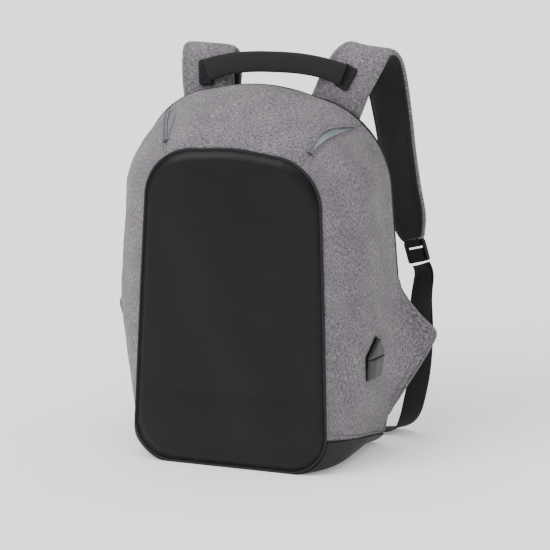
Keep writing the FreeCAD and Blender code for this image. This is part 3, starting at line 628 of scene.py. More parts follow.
def tube_grid(path: Array, radius: Any, sides: int = 10, closed: bool = False) -> Array:
    """Round tube: a circle carried along a path, square to its heading.

    Args:
        path: centre line, shape (n, 3).
        radius: one radius, or one for each point.
        sides: points round the circle.
        closed: the path joins its own start.

    Returns:
        Grid of positions, shape (n, sides, 3).
    """
    if closed:
        heading = unit(np.roll(path, -1, 0) - np.roll(path, 1, 0))
    else:
        heading = unit(np.gradient(path, axis=0))
    guide = np.where(np.abs(heading[:, 2:3]) > 0.9, [[0.0, 1.0, 0.0]], [[0.0, 0.0, 1.0]])
    if np.abs(heading[:, 1]).max() < 0.6:
        guide = np.array([[0.0, 1.0, 0.0]])
    first = unit(np.cross(heading, guide))
    second = np.cross(heading, first)
    angle = np.linspace(0, 2 * math.pi, sides, endpoint=False)
    ring = (first[:, None] * np.cos(angle)[None, :, None]
            + second[:, None] * np.sin(angle)[None, :, None])
    radii = np.broadcast_to(np.asarray(radius, float), (len(path),))
    return path[:, None] + ring * radii[:, None, None]


def thicken(piece: bpy.types.Object, depth: float, offset: float = -1.0) -> None:
    """Give a sheet its thickness, inward by default."""
    made = piece.modifiers.new("thickness", "SOLIDIFY")
    made.thickness = depth
    made.offset = offset


def scatter(name: str, shape: Array, faces: Array, spots: Array, axes: Array) -> bpy.types.Object:
    """One mesh of many small copies, each set in its own frame.

    Args:
        name: piece name.
        shape: vertices of one copy, shape (k, 3).
        faces: faces of one copy.
        spots: places, shape (n, 3).
        axes: the frame of each copy as rows, shape (n, 3, 3).

    Returns:
        The joined piece.
    """
    placed = np.einsum("kj,njc->nkc", shape, axes) + spots[:, None]
    shift = (np.arange(len(spots)) * len(shape))[:, None, None]
    numbers = (np.asarray(faces)[None] + shift).reshape(-1, np.asarray(faces).shape[1])
    vertices = placed.reshape(-1, 3)
    uv = vertices[numbers.ravel()][:, [0, 2]]
    return new_piece(name, vertices, numbers, uv)


def capsule(length: float, radius: float) -> tuple:
    """Small six-sided stitch, thickest in the middle and closed to a point at both ends."""
    angle = np.linspace(0, 2 * math.pi, 6, endpoint=False)
    rings = [(-0.36, 0.75), (0.0, 1.0), (0.36, 0.75)]
    body = [np.stack([np.full(6, length * x), np.cos(angle) * radius * s,
                      np.sin(angle) * radius * s], 1)
            for x, s in rings]
    tips = np.array([[-length / 2, 0, 0], [length / 2, 0, 0]])
    shape = np.concatenate(body + [tips])
    k = np.arange(6)
    k2 = (k + 1) % 6
    quads = [np.stack([k + 6 * n, k + 6 * (n + 1), k2 + 6 * (n + 1), k2 + 6 * n], 1)
             for n in (0, 1)]
    ends = [np.stack([np.full(6, 18), k, k2, k2], 1),
            np.stack([np.full(6, 19), k2 + 12, k + 12, k + 12], 1)]
    return shape, quads, ends


def stitch_row(name: str, path: Array, normals: Array, pitch: float = 0.0032,
               length: float = 0.0023, radius: float = 0.00042) -> bpy.types.Object:
    """Row of stitches lying along a path on a surface.

    Args:
        name: piece name.
        path: seam line, shape (n, 3).
        normals: surface normal at each point.
        pitch: distance from stitch to stitch.
        length: length of one stitch.
        radius: thickness of the thread.

    Returns:
        The stitches as one piece.
    """
    run = lengths_along(path)
    count = max(2, int(run[-1] / pitch))
    want = (np.arange(count) + 0.5) * run[-1] / count
    spots = np.stack([np.interp(want, run, path[:, k]) for k in range(3)], 1)
    facing = unit(np.stack([np.interp(want, run, normals[:, k]) for k in range(3)], 1))
    heading = unit(np.stack([np.interp(want, run, np.gradient(path[:, k])) for k in range(3)], 1))
    side = unit(np.cross(facing, heading))
    shape, quads, ends = capsule(length, radius)
    fans = np.concatenate(ends)[:, :3]
    axes = np.stack([heading, side, np.cross(heading, side)], 1)
    placed = np.einsum("kj,njc->nkc", shape, axes) + (spots + facing * radius * 0.5)[:, None]
    shift = (np.arange(count) * len(shape))[:, None, None]
    rows = (np.concatenate(quads)[None] + shift).reshape(-1, 4).tolist()
    rows += (fans[None] + shift).reshape(-1, 3).tolist()
    vertices = placed.reshape(-1, 3)
    order = np.concatenate([np.ravel(row) for row in rows])
    return new_piece(name, vertices, rows, vertices[order][:, [0, 2]])


def face_outward(mesh: bpy.types.Mesh, merge: bool = False, flat_angle: float = 0.0,
                 cap: int = 0) -> None:
    """Turn every face of a closed mesh outward.

    Args:
        mesh: mesh to mend.
        merge: first join the vertices that share a place.
        flat_angle: dissolve edges whose faces turn by less than this, in radians.
        cap: close the first ring, of this many vertices, with one face.
    """
    work = bmesh.new()
    work.from_mesh(mesh)
    if merge:
        bmesh.ops.remove_doubles(work, verts=work.verts, dist=MERGE_DISTANCE)
    if flat_angle:
        bmesh.ops.dissolve_limit(work, angle_limit=flat_angle, verts=work.verts,
                                 edges=work.edges)
    if cap:
        work.faces.new(work.verts[:cap])
    bmesh.ops.recalc_face_normals(work, faces=work.faces)
    work.to_mesh(mesh)
    work.free()


def softened_copy(node: str, width: float, segments: int = 3) -> bpy.types.Object:
    """Bevelled copy of a moulded node, for pieces whose edges catch the light."""
    source = frame["nodes"][node]
    mesh = source.data.copy()
    mesh.name = node + "_body"
    face_outward(mesh, merge=True, flat_angle=math.radians(1.5))
    piece = bpy.data.objects.new(node + "_body", mesh)
    bpy.context.scene.collection.objects.link(piece)
    bevel = piece.modifiers.new("edges", "BEVEL")
    bevel.width = width
    bevel.segments = segments
    bevel.limit_method = "ANGLE"
    bevel.angle_limit = math.radians(35)
    mesh.polygons.foreach_set("use_smooth", np.zeros(len(mesh.polygons), bool))
    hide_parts(node)
    return piece


# ------------------------------------------------------------------ the pack's skin
@dataclass(frozen=True)
class Outline:
    """One rounded arch in a leaning plane."""

    base_y: float
    lean: float
    foot: float
    waist: tuple
    shoulder: tuple
    crown: float
    radii: tuple
    samples: int = 30

    def points(self, inset: float = 0.0, low: float = -0.001) -> Array:
        """Positions round the arch: straight runs joined by tangent arcs.

        Each corner's arc turns about the point on its bisector whose distance from both sides is
        the radius.

        Args:
            inset: distance drawn inward.
            low: height of the bottom line.

        Returns:
            Positions, shape (14 * samples, 3).
        """
        foot_r, waist_r, shoulder_r = self.radii
        right = [(self.foot - inset, low + inset), (self.waist[0] - inset, self.waist[1]),
                 (self.shoulder[0] - inset, self.shoulder[1] - inset)]
        corners = np.array(right + [(0.0, self.crown - inset)] + [(-x, z) for x, z in right[::-1]])
        radii = np.array([foot_r - inset / 2, waist_r, shoulder_r - inset, 0.2,
                          shoulder_r - inset, waist_r, foot_r - inset / 2])
        back = unit(np.roll(corners, 1, 0) - corners)
        ahead = unit(np.roll(corners, -1, 0) - corners)
        half = np.arccos(np.clip((back * ahead).sum(1), -1, 1)) / 2
        reach = (radii / np.tan(half))[:, None]
        start, end = corners + back * reach, corners + ahead * reach
        centre = corners + unit(back + ahead) * (radii / np.sin(half))[:, None]
        share = np.linspace(0, 1, self.samples, endpoint=False)[None, :, None]
        sweep = (math.pi - 2 * half)[:, None, None]
        arcs = centre[:, None] + (np.sin((1 - share) * sweep) * (start - centre)[:, None]
                                  + np.sin(share * sweep) * (end - centre)[:, None]) / np.sin(sweep)
        nexts = np.roll(start, -1, 0)
        lines = end[:, None] + (nexts - end)[:, None] * share
        flat = np.concatenate([arcs, lines], axis=1).reshape(-1, 2)
        lean = math.radians(self.lean)
        return np.stack([flat[:, 0], self.base_y + flat[:, 1] * math.sin(lean),
                         flat[:, 1] * math.cos(lean)], 1)


@dataclass
class PackSkin:
    """Outer surface of the bag as positions on (round, depth).

    round runs once about the bag from the right foot over the top; depth runs from 0 at the front
    seam to 1 at the rear edge. The surface is the cubic through four outlines.
    """

    depth: float = 0.140
    front_half: float = 0.122
    rear_half: float = 0.168
    front_height: float = 0.384
    rear_height: float = 0.436
    lean: float = 4.5
    corner: float = 0.062
    foot_corner: float = 0.046
    stations: tuple = (0.0, 0.18, 0.53, 1.0)
    boot_front: float = 0.044
    boot_fall: float = 0.032
    yoke_front: float = 0.075
    yoke_rear: float = 0.123
    rows: int = 121
    steps: int = 1200
    outlines: list = field(default_factory=list)
    girth: float = 0.0

    def __post_init__(self) -> None:
        """Work out the outlines and the dense table of positions."""
        grow = self.rear_half - self.front_half
        rise = self.rear_height - self.front_height
        y = [-self.depth / 2 + self.depth * share for share in self.stations]
        w, top = self.front_half, self.front_height
        self.outlines = [
            Outline(y[0], self.lean, w, (w - 0.007, top * 0.52), (w - 0.014, top - 0.011), top,
                    (self.foot_corner, 0.3, self.corner)),
            Outline(y[1], self.lean * 0.8, w + grow * 0.07,
                    (w + grow * 0.42, self.rear_height * 0.44),
                    (w + grow * 0.18, top + rise * 0.05), top + rise * 0.3,
                    (0.03, 0.3, self.corner + 0.024)),
            Outline(y[2], self.lean * 0.4, w + grow * 0.22,
                    (w + grow * 0.83, self.rear_height * 0.36),
                    (w + grow * 0.5, top + rise * 0.2), top + rise * 0.7,
                    (0.03, 0.3, self.corner + 0.040)),
            Outline(y[3], 0.0, self.rear_half - 0.027, (self.rear_half, self.rear_height * 0.3),
                    (self.rear_half - 0.017, self.rear_height - 0.037), self.rear_height,
                    (0.03, 0.3, self.corner + 0.043)),
        ]
        sections = np.stack([outline.points() for outline in self.outlines])
        sections = np.concatenate([sections, sections[:, :1]], axis=1)
        run = lengths_along(sections[2])
        even = np.linspace(0, run[-1], self.steps + 1)
        table = np.stack([[np.interp(even, run, section[:, k]) for k in range(3)]
                          for section in sections])
        stations = np.array(self.stations)
        v = np.linspace(0, 1, self.rows)
        weights = np.stack([np.prod([(v - stations[m]) / (stations[n] - stations[m])
                                     for m in range(4) if m != n], axis=0) for n in range(4)])
        self.table = np.einsum("nv,ncs->vsc", weights, table)
        self.girth = float(run[-1])

    def at(self, around: Array, depth: Array) -> Array:
        """Positions by straight interpolation in the dense table.

        Args:
            around: place round the bag, any number, wrapped to 0..1.
            depth: 0 at the front seam, 1 at the rear edge.

        Returns:
            Positions with the arguments' shape and a last axis of 3.
        """
        around, depth = np.broadcast_arrays(np.asarray(around, float), np.asarray(depth, float))
        s = (around % 1.0) * self.steps
        v = np.clip(depth, 0, 1) * (self.rows - 1)
        i = np.minimum(s.astype(int), self.steps - 1)
        j = np.minimum(v.astype(int), self.rows - 2)
        a, b = (s - i)[..., None], (v - j)[..., None]
        table = self.table
        return ((table[j, i] * (1 - a) + table[j, i + 1] * a) * (1 - b)
                + (table[j + 1, i] * (1 - a) + table[j + 1, i + 1] * a) * b)

    def normal(self, around: Array, depth: Array) -> Array:
        """Outward normals by small differences."""
        e = 1.5e-3
        depth = np.clip(depth, 2 * e, 1 - 2 * e)
        return unit(np.cross(self.at(around + e, depth) - self.at(around - e, depth),
                             self.at(around, depth + 2 * e) - self.at(around, depth - 2 * e))) * -1

    def crossing(self, depth: Array, test: Callable[[Array], Array], low: float,
                 high: float) -> Array:
        """Place round the bag where a test changes sign.

        Args:
            depth: depths wanted.
            test: signed test of positions.
            low: where the search starts.
            high: where the search ends.

        Returns:
            One place for each depth.
        """
        around = np.linspace(low, high, 900)
        value = test(self.at(around[None, :], np.asarray(depth)[:, None]))
        change = np.argmax(np.sign(value[:, 1:]) != np.sign(value[:, :-1]), axis=1)
        rows = np.arange(len(value))
        first, second = value[rows, change], value[rows, change + 1]
        share = np.clip(first / np.where(first == second, 1, first - second), 0, 1)
        return around[change] + share * (around[1] - around[0])

    def seam_half(self, y: Array) -> Array:
        """Half width of the top yoke at a depth."""
        return (self.yoke_front
                + (self.yoke_rear - self.yoke_front) * (y + self.depth / 2) / self.depth)

    def yoke_seam(self, depth: Array) -> Array:
        """Place of the right shoulder seam."""
        return self.crossing(depth, lambda p: p[..., 0] - self.seam_half(p[..., 1]), 0.22, 0.43)

    def boot_seam(self, depth: Array) -> Array:
        """Place of the right boot seam."""
        fall = self.boot_fall / self.depth
        return self.crossing(
            depth, lambda p: p[..., 2] - self.boot_front + fall * (p[..., 1] + self.depth / 2),
            0.0, 0.2)

    def mirrored(self, around: Array) -> Array:
        """The same place on the left side."""
        return 2 * self.crown_place - around

    @property
    def crown_place(self) -> float:
        """Share of the way round at the crown's highest point."""
        middle = self.table[0, :, 2]
        return float(np.argmax(middle) / self.steps)


# ------------------------------------------------------------------ sewn shell
@dataclass
class FrontPanel:
    """Black coated panel with its piping."""

    skin: PackSkin
    wardrobe: Wardrobe
    crown: float = 0.0068
    cord: float = 0.0016

    def loop(self, inset: float, columns: int = 260) -> Array:
        """Front outline drawn inward, evenly spaced, as a closed loop."""
        ring = self.skin.outlines[0].points(inset, 0.001)
        return evenly(np.concatenate([ring, ring[:1]]), columns + 1)[:-1]

    def forward(self) -> Array:
        """Outward normal of the leaning front."""
        lean = math.radians(self.skin.lean)
        return np.array([0.0, -math.cos(lean), math.sin(lean)])

    def panel(self) -> None:
        """Crowned sheet: it rises fast at the seam, lies almost flat, and carries soft pulls.

        Height is the crown times (1 - share^2), plus long shallow folds that fade at the seam.
        """
        loop = self.loop(0.0022)
        centre = np.array([0.0, *(loop[:, 1:].mean(0))])
        points, share = disc_grid(loop, centre, 56, 1.5)
        rise = 0.0010 + self.crown * (1 - share ** 2.0)[:, None]
        fade = (1 - share ** 6)[:, None]
        folds = ripple(points * [1.0, 1.0, 0.22], 0.085, 5) * 0.0016
        pulls = ripple(points * [1.0, 1.0, 0.6], 0.045, 8) * 0.0006
        low = np.clip((0.09 - points[..., 2]) / 0.09, 0, 1)
        sag = low * (1 - low) * 0.010
        edge = np.exp(-((1 - share) / 0.05) ** 2)[:, None]
        angle = np.linspace(0, 2 * math.pi, len(loop), endpoint=False)
        puckers = np.sin(angle * 46 + 1.7 * np.sin(angle * 5))[None] * edge * 0.00018
        height = rise + (folds + pulls) * fade + sag * fade + puckers
        points = points + self.forward() * height[..., None]
        piece = disc_piece("front_panel_cloth", points)
        thicken(piece, 0.0018)
        self.wardrobe.dress(piece, "coated_nylon")
        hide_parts("front_panel")
        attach(piece, "pack")

    def backing(self) -> None:
        """Flat lining behind the panel."""
        loop = self.loop(0.006, 120)
        centre = np.array([0.0, *(loop[:, 1:].mean(0))])
        points, _ = disc_grid(loop, centre, 10)
        piece = disc_piece("front_lining", points - self.forward() * 0.0038)
        thicken(piece, 0.0010)
        self.wardrobe.dress(piece, "lining")
        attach(piece, "pack")

    def piping(self) -> None:
        """Piping cord in its tape, a round tube in the seam."""
        path = self.loop(0.0012, 420)
        path[:, 2] = np.maximum(path[:, 2], self.cord + 0.0004)
        tube = tube_grid(path, self.cord, 10, True)
        piece = grid_piece("front_piping_cord", np.concatenate([tube, tube[:1]]), loop=True)
        self.wardrobe.dress(piece, "piping_black")
        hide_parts("front_piping")
        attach(piece, "pack")


@dataclass
class Shell:
    """Mottled yoke, side gussets with wings, base boot and shoulder inserts."""

    skin: PackSkin
    wardrobe: Wardrobe
    cloth: float = 0.0030
    lip: float = 0.0013
    slit_front: float = 0.15
    slit_rear: float = 0.88
    slit_above: float = 0.0095
    slit_below: float = 0.0015
    wing_start: float = 0.66
    wing_reach: float = 0.045
    wing_angle: float = 32.7
    wing_top: float = 0.212
    wing_tip: float = 0.136
    wing_low: float = 0.034
    wing_rise_power: float = 1.12
    wing_fall_power: float = 1.9
    wing_blend_power: float = 9.0

    def sheet_from(self, around: Array, depth: Array, puff: float, seed: int) -> Array:
        """Skin positions with a slight puff between seams and soft unevenness.

        The puff is largest mid-panel and the cloth dips by the lip at each seam.
        """
        points = self.skin.at(around, depth)
        normals = self.skin.normal(around, depth)
        rows, columns = around.shape
        across = np.linspace(0, 1, columns)[None, :]
        along = np.linspace(0, 1, rows)[:, None]
        bulge = (1 - np.abs(2 * across - 1) ** 6) * (1 - np.abs(2 * along - 1) ** 8)
        uneven = ripple(points, 0.075, seed) * 0.0010 + ripple(points, 0.033, seed + 1) * 0.0004
        height = puff * bulge + uneven * bulge - self.lip * (1 - bulge)
        return points + normals * height[..., None]

    def inward(self, points: Array) -> bool:
        """True where the grid's faces would look toward the middle of the bag."""
        row, column = points.shape[0] // 2, points.shape[1] // 3
        here = points[row, column]
        face = np.cross(points[row, column + 1] - here, points[row + 1, column] - here)
        return bool(face @ (here - np.array([0.0, 0.0, 0.2])) < 0)

    def finish(self, piece: bpy.types.Object, finish: str, nodes: Sequence[str],
               depth: float) -> None:
        """Thicken, dress and attach one shell panel."""
        thicken(piece, depth)
        self.wardrobe.dress(piece, finish)
        if nodes:
            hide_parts(*nodes)
        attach(piece, "pack")

    def slit(self, depth: Array) -> tuple:
        """Opening of the shoulder seam, as a share of the way round above and below it.

        Both lips are half sine waves between the slit's ends; the upper one bulges more.
        """
        share = np.clip((depth - self.slit_front) / (self.slit_rear - self.slit_front), 0, 1)
        wave = np.sin(math.pi * share) ** 0.8
        return wave * self.slit_above / self.skin.girth, wave * self.slit_below / self.skin.girth

    def yoke(self) -> None:
        """Top panel between the two shoulder seams."""
        depth = np.linspace(0.0, 1.0, 90)
        right = self.skin.yoke_seam(depth) + self.slit(depth)[0]
        left = self.skin.mirrored(right)
        share = np.linspace(0, 1, 150)
        around = right[:, None] + (left - right)[:, None] * share
        points = self.sheet_from(around, np.repeat(depth[:, None], 150, 1), 0.0026, 11)
        piece = grid_piece("top_yoke_cloth", points, flip=self.inward(points))
        self.finish(piece, "mottled_polyester", ["top_yoke"], self.cloth)

    def gusset(self, side: Side) -> None:
        """Side panel from the boot seam up to the shoulder seam, flowing out into the wing."""
        depth = np.linspace(0.0, 1.0, 100)
        low = self.skin.boot_seam(depth)
        high = self.skin.yoke_seam(depth) - self.slit(depth)[1]
        share = np.linspace(0, 1, 210)
        around = low[:, None] + (high - low)[:, None] * share
        points = self.sheet_from(around, np.repeat(depth[:, None], 210, 1), 0.0024, 21)
        points = self.flow_to_wing(points, depth)
        mirror = np.array([side.value, 1, 1])
        if side is Side.RIGHT:
            points = self.port_seat(points)
        points = points * mirror
        piece = grid_piece(f"side_gusset_cloth_{side.tag}", points, flip=self.inward(points))
        self.finish(piece, "mottled_polyester", [f"side_gusset_{side.tag}"], self.cloth)
        self.wing_back(side, points)

    def reach_at(self, heights: Array) -> Array:
        """How far the wing's edge stands out at each height.

        It rises almost straight from the lower corner to the tip and falls in a hollow curve to the
        top, softened where the two meet.
        """
        rising = np.clip(
            (heights - self.wing_low) / (self.wing_tip - self.wing_low),
            1e-3, None) ** self.wing_rise_power
        falling = np.clip(
            (self.wing_top - heights) / (self.wing_top - self.wing_tip),
            1e-3, None) ** self.wing_fall_power
        power = self.wing_blend_power
        blend = (rising ** -power + falling ** -power) ** (-1 / power)
        return self.wing_reach * np.clip(blend, 0, 1)

    def outward(self) -> Array:
        """Level direction in which the wing stands out."""
        angle = math.radians(self.wing_angle)
        return np.array([math.cos(angle), math.sin(angle), 0.0])

    def flow_to_wing(self, points: Array, depth: Array) -> Array:
        """Bend the rear part of the side panel out to the wing's edge.

        The added shift is a cubic that leaves the panel with no change of slope, and reaches the
        edge heading along the wing.
        """
        u = np.clip((depth - self.wing_start) / (1 - self.wing_start), 0, 1)[:, None, None]
        reach = self.reach_at(points[-1, :, 2])
        weight = np.clip(reach / 0.012, 0, 1)
        weight = (weight * weight * (3 - 2 * weight))[None, :, None]
        first = int(np.argmax(depth >= self.wing_start))
        span = (np.linalg.norm(points[-1] - points[first], axis=1)[None, :, None]
                + reach[None, :, None])
        own = (points[-1] - points[-2])[None] / (depth[-1] - depth[-2]) * (1 - self.wing_start)
        shift = (3 * u ** 2 - 2 * u ** 3) * self.outward() * reach[None, :, None]
        return points + shift + (u ** 3 - u ** 2) * weight * (self.outward() * span - own)

    def wing_back(self, side: Side, points: Array) -> None:
        """Rear sheet of the wing, its padded hem and the stitches beside it."""
        mirror = np.array([side.value, 1, 1])
        edge = points[-1] * mirror
        reach = self.reach_at(edge[:, 2])
        kept = reach > 0.0004
        edge, reach = edge[kept], reach[kept]
        root = edge - self.outward() * reach[:, None] + [-0.0030, 0.0006, 0.0]
        share = np.linspace(0, 1, 16)[None, :, None]
        puff = np.sin(math.pi * share) * np.minimum(reach, 0.02)[:, None, None] * 0.10
        behind = np.array([-self.outward()[1], self.outward()[0], 0.0])
        grid = root[:, None] + (edge - root)[:, None] * share + behind * (puff - 0.0010)
        grid = (grid + ripple(grid, 0.03, 43)[..., None] * 0.0004) * mirror
        back = grid_piece(f"wing_cloth_{side.tag}", grid, flip=side is Side.LEFT)
        self.finish(back, "mottled_polyester", [f"wing_{side.tag}"], 0.0016)
        radius = 0.0018 * np.clip(reach / 0.008, 0.1, 1.0)
        hem = grid_piece(f"wing_hem_{side.tag}",
                         tube_grid((edge + behind * 0.0004) * mirror, radius, 10),
                         loop=True, capped=True)
        self.wardrobe.dress(hem, "mottled_polyester")
        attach(hem, "pack")
        facing = grid_normals(points)[-5][kept]
        facing = facing * np.sign((facing * (mirror * [0.5, -0.8, 0.0])).sum(1, keepdims=True))
        self.stitches(f"wing_hem_stitches_{side.tag}", points[-6][kept] + facing * 0.0003,
                      facing, "thread_grey")

    def port_seat(self, points: Array) -> Array:
        """Sink the cloth a little round the charging port so that its frame stands proud."""
        low, high = (np.array(corner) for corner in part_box("port_frame"))
        middle = (low + high) / 2
        spread = np.array([0.05, 0.022, 0.031])
        distance = np.linalg.norm((points - middle) / spread, axis=-1)
        sink = 0.0030 * np.clip(1.15 - distance, 0, 1) ** 0.6
        return points - np.array([1.0, -0.17, 0.0]) * sink[..., None]

    def boot(self) -> None:
        """Black coated cloth under the bag and a little way up its sides."""
        depth = np.linspace(0.0, 1.0, 60)
        right = self.skin.boot_seam(depth)
        left = self.skin.mirrored(right)
        share = np.linspace(0, 1, 170)
        around = left[:, None] + (right + 1.0 - left)[:, None] * share
        points = self.skin.at(around, np.repeat(depth[:, None], 170, 1))
        normals = self.skin.normal(around, np.repeat(depth[:, None], 170, 1))
        rise = np.clip(points[..., 2] / 0.012, 0, 1)
        uneven = ripple(points, 0.05, 31) * 0.0013 * rise
        points = points + normals * (uneven + 0.0004 * rise)[..., None]
        points[..., 2] = np.maximum(points[..., 2], 0.0)
        piece = grid_piece("base_boot_cloth", points, flip=self.inward(points))
        self.finish(piece, "boot_black", ["base_boot"], self.cloth)

    def insert(self, side: Side) -> None:
        """Leaf of reflective tape under a slit in the shoulder seam, and the slit's lips."""
        depth = np.linspace(self.slit_front, self.slit_rear, 60)
        above, below = self.slit(depth)
        seam = self.skin.yoke_seam(depth)
        margin = 0.0022 / self.skin.girth
        across = np.linspace(0, 1, 13)
        around = (seam - below - margin)[:, None] + (above + below + 2 * margin)[:, None] * across
        deep = np.repeat(depth[:, None], 13, 1)
        if side is Side.LEFT:
            around = self.skin.mirrored(around)
        tape = self.skin.at(around, deep) - self.skin.normal(around, deep) * 0.0020
        piece = grid_piece(f"reflective_leaf_{side.tag}", tape, flip=self.inward(tape))
        self.finish(piece, "reflective", [f"reflective_insert_{side.tag}"], 0.0008)
        wave = np.sin(math.pi * np.linspace(0, 1, 60)) ** 0.5
        for number, edge, radius in ((1, seam - below, 0.0011), (2, seam + above, 0.0016)):
            edge = self.skin.mirrored(edge) if side is Side.LEFT else edge
            path = self.skin.at(edge, depth) - self.skin.normal(edge, depth) * 0.0012
            grid = tube_grid(path, radius * (0.3 + 0.7 * wave), 10)
            lip = grid_piece(f"insert_lip_{number}_{side.tag}", grid, loop=True, capped=True)
            self.wardrobe.dress(lip, "mottled_polyester")
            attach(lip, "pack")
        edge = seam - below - 0.0028 / self.skin.girth
        edge = self.skin.mirrored(edge) if side is Side.LEFT else edge
        facing = self.skin.normal(edge, depth)
        self.stitches(f"insert_stitches_{side.tag}",
                      self.skin.at(edge, depth) + facing * 0.0002, facing,
                      "thread_dark")
        self.bar_tack(side)

    def bar_tack(self, side: Side) -> None:
        """Short zigzag of thread across the seam at the slit's front end."""
        share = np.linspace(-1, 1, 90)
        depth = self.slit_front - 0.012 + 0.006 * share
        around = self.skin.yoke_seam(depth) + 0.0050 / self.skin.girth * np.sin(share * 26)
        around = self.skin.mirrored(around) if side is Side.LEFT else around
        facing = self.skin.normal(around, depth)
        self.stitches(f"bar_tack_{side.tag}", self.skin.at(around, depth) + facing * 0.0002, facing,
                      "thread_dark")

    def stitches(self, name: str, path: Array, facing: Array, finish: str) -> None:
        """Row of stitches that rides on the pack."""
        row = stitch_row(name, path, facing)
        self.wardrobe.dress(row, finish)
        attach(row, "pack")

    def seams(self) -> None:
        """Stitch rows beside the shoulder and boot seams."""
        depth = np.linspace(0.03, 0.985, 90)
        for side in Side:
            rows = (("shoulder", self.skin.yoke_seam(depth) - 0.0035, "thread_grey"),
                    ("yoke", self.skin.yoke_seam(depth) + 0.0040, "thread_grey"),
                    ("boot", self.skin.boot_seam(depth) + 0.0036, "thread_dark"))
            for name, around, finish in rows:
                around = self.skin.mirrored(around) if side is Side.LEFT else around
                normals = self.skin.normal(around, depth)
                path = self.skin.at(around, depth) + normals * 0.0006
                self.stitches(f"{name}_stitches_{side.tag}", path, normals, finish)


# ------------------------------------------------------------------ rear opening
@dataclass
class RearOpening:
    """Back panels, zip and flap."""

    skin: PackSkin
    wardrobe: Wardrobe
    hinge: float = 0.163
    margin: float = 0.0144
    teeth_inset: float = 0.009

    def arch(self, inset: float, low: float, columns: int, feet: bool) -> Array:
        """Rear outline above or below a height, closed by a straight line.

        Args:
            inset: distance drawn inward.
            low: the height that cuts it.
            columns: points wanted.
            feet: keep what is below instead of above.

        Returns:
            Closed loop of positions.
        """
        ring = self.skin.outlines[3].points(inset, 0.0)
        keep = ring[:, 2] < low if feet else ring[:, 2] > low
        kept = ring[keep]
        start = int(np.argmax(np.linalg.norm(
            np.diff(np.concatenate([kept, kept[:1]]), axis=0), axis=1)))
        kept = np.roll(kept, -(start + 1), axis=0)
        return evenly(np.concatenate([kept, kept[:1]]), columns + 1)[:-1]

    def panel(self, name: str, loop: Array, body: str, nodes: Sequence[str], puff: float) -> None:
        """Mesh-faced panel, softly puffed between its edges."""
        centre = loop.mean(0)
        points, share = disc_grid(loop, centre, 30, 1.4)
        rise = (puff * (1 - share ** 5)[:, None]
                + ripple(points, 0.06, 51) * 0.0006 * (1 - share ** 8)[:, None])
        points = points + np.array([0.0, 1.0, 0.0]) * rise[..., None]
        piece = disc_piece(name, points, flip=True)
        thicken(piece, 0.0040)
        self.wardrobe.dress(piece, "air_mesh")
        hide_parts(*nodes)
        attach(piece, body)

    def panels(self) -> None:
        """Flap and the fixed lower back."""
        self.panel("back_flap_cloth", self.arch(self.margin, self.hinge + 0.0006, 240, False),
                   "back_flap", ["back_flap_panel"], 0.0012)
        self.panel("lower_back_cloth", self.arch(0.0012, self.hinge - 0.0004, 200, True),
                   "pack", ["lower_back_panel"], 0.0012)

    def tape(self) -> None:
        """Zip tape as a flat ring beside the flap."""
        outer = self.skin.outlines[3].points(0.0005, 0.0)
        inner = self.skin.outlines[3].points(self.margin - 0.0004, 0.0)
        keep = outer[:, 2] > self.hinge
        columns = [outer, outer * 0.6 + inner * 0.4, outer * 0.25 + inner * 0.75, inner]
        grid = np.stack([line[keep] for line in columns], axis=1)
        grid[:, 1:3, 1] += 0.0004
        piece = grid_piece("zip_tape_cloth", grid)
        thicken(piece, 0.0030)
        self.wardrobe.dress(piece, "zip_tape")
        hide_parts("zip_tape")
        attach(piece, "pack")

    def teeth(self) -> None:
        """Coil teeth: small rounded links set alternately each side of the chain's line."""
        line = self.skin.outlines[3].points(self.teeth_inset, 0.0)
        line = line[line[:, 2] > self.hinge + 0.006]
        line = evenly(line, 560)
        heading = unit(np.gradient(line, axis=0))
        facing = np.broadcast_to(np.array([0.0, 1.0, 0.0]), line.shape)
        side = np.cross(facing, heading)
        shape, quads, ends = capsule(0.0030, 0.00062)
        faces = np.concatenate(quads + [np.concatenate(ends)[:, [0, 1, 2, 2]]])
        flip = np.where(np.arange(len(line)) % 2, 0.0006, -0.0006)[:, None]
        slant = unit(side + heading * 0.25)
        axes = np.stack([slant, np.cross(facing, slant), facing], 1)
        triangles = np.concatenate([np.concatenate(quads)[:, [0, 1, 2]],
                                    np.concatenate(quads)[:, [0, 2, 3]],
                                    np.concatenate(ends)[:, :3]])
        spots = line + side * flip + facing * 0.0010
        piece = scatter("zip_coil", shape, triangles, spots, axes)
        self.wardrobe.dress(piece, "zip_teeth")
        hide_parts("zip_chain")
        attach(piece, "pack")
        log.info("zip coil of %d links, %d faces each", len(line), len(faces))

    def sliders(self) -> None:
        """Bevelled sliders and pulls."""
        for side in Side:
            for node, body, width in ((f"zip_slider_{side.tag}", f"slider_{side.tag}", 0.0006),
                                      (f"zip_pull_{side.tag}", f"pull_{side.tag}", 0.0004)):
                piece = softened_copy(node, width)
                self.wardrobe.dress(piece, "zip_metal")
                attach(piece, body)


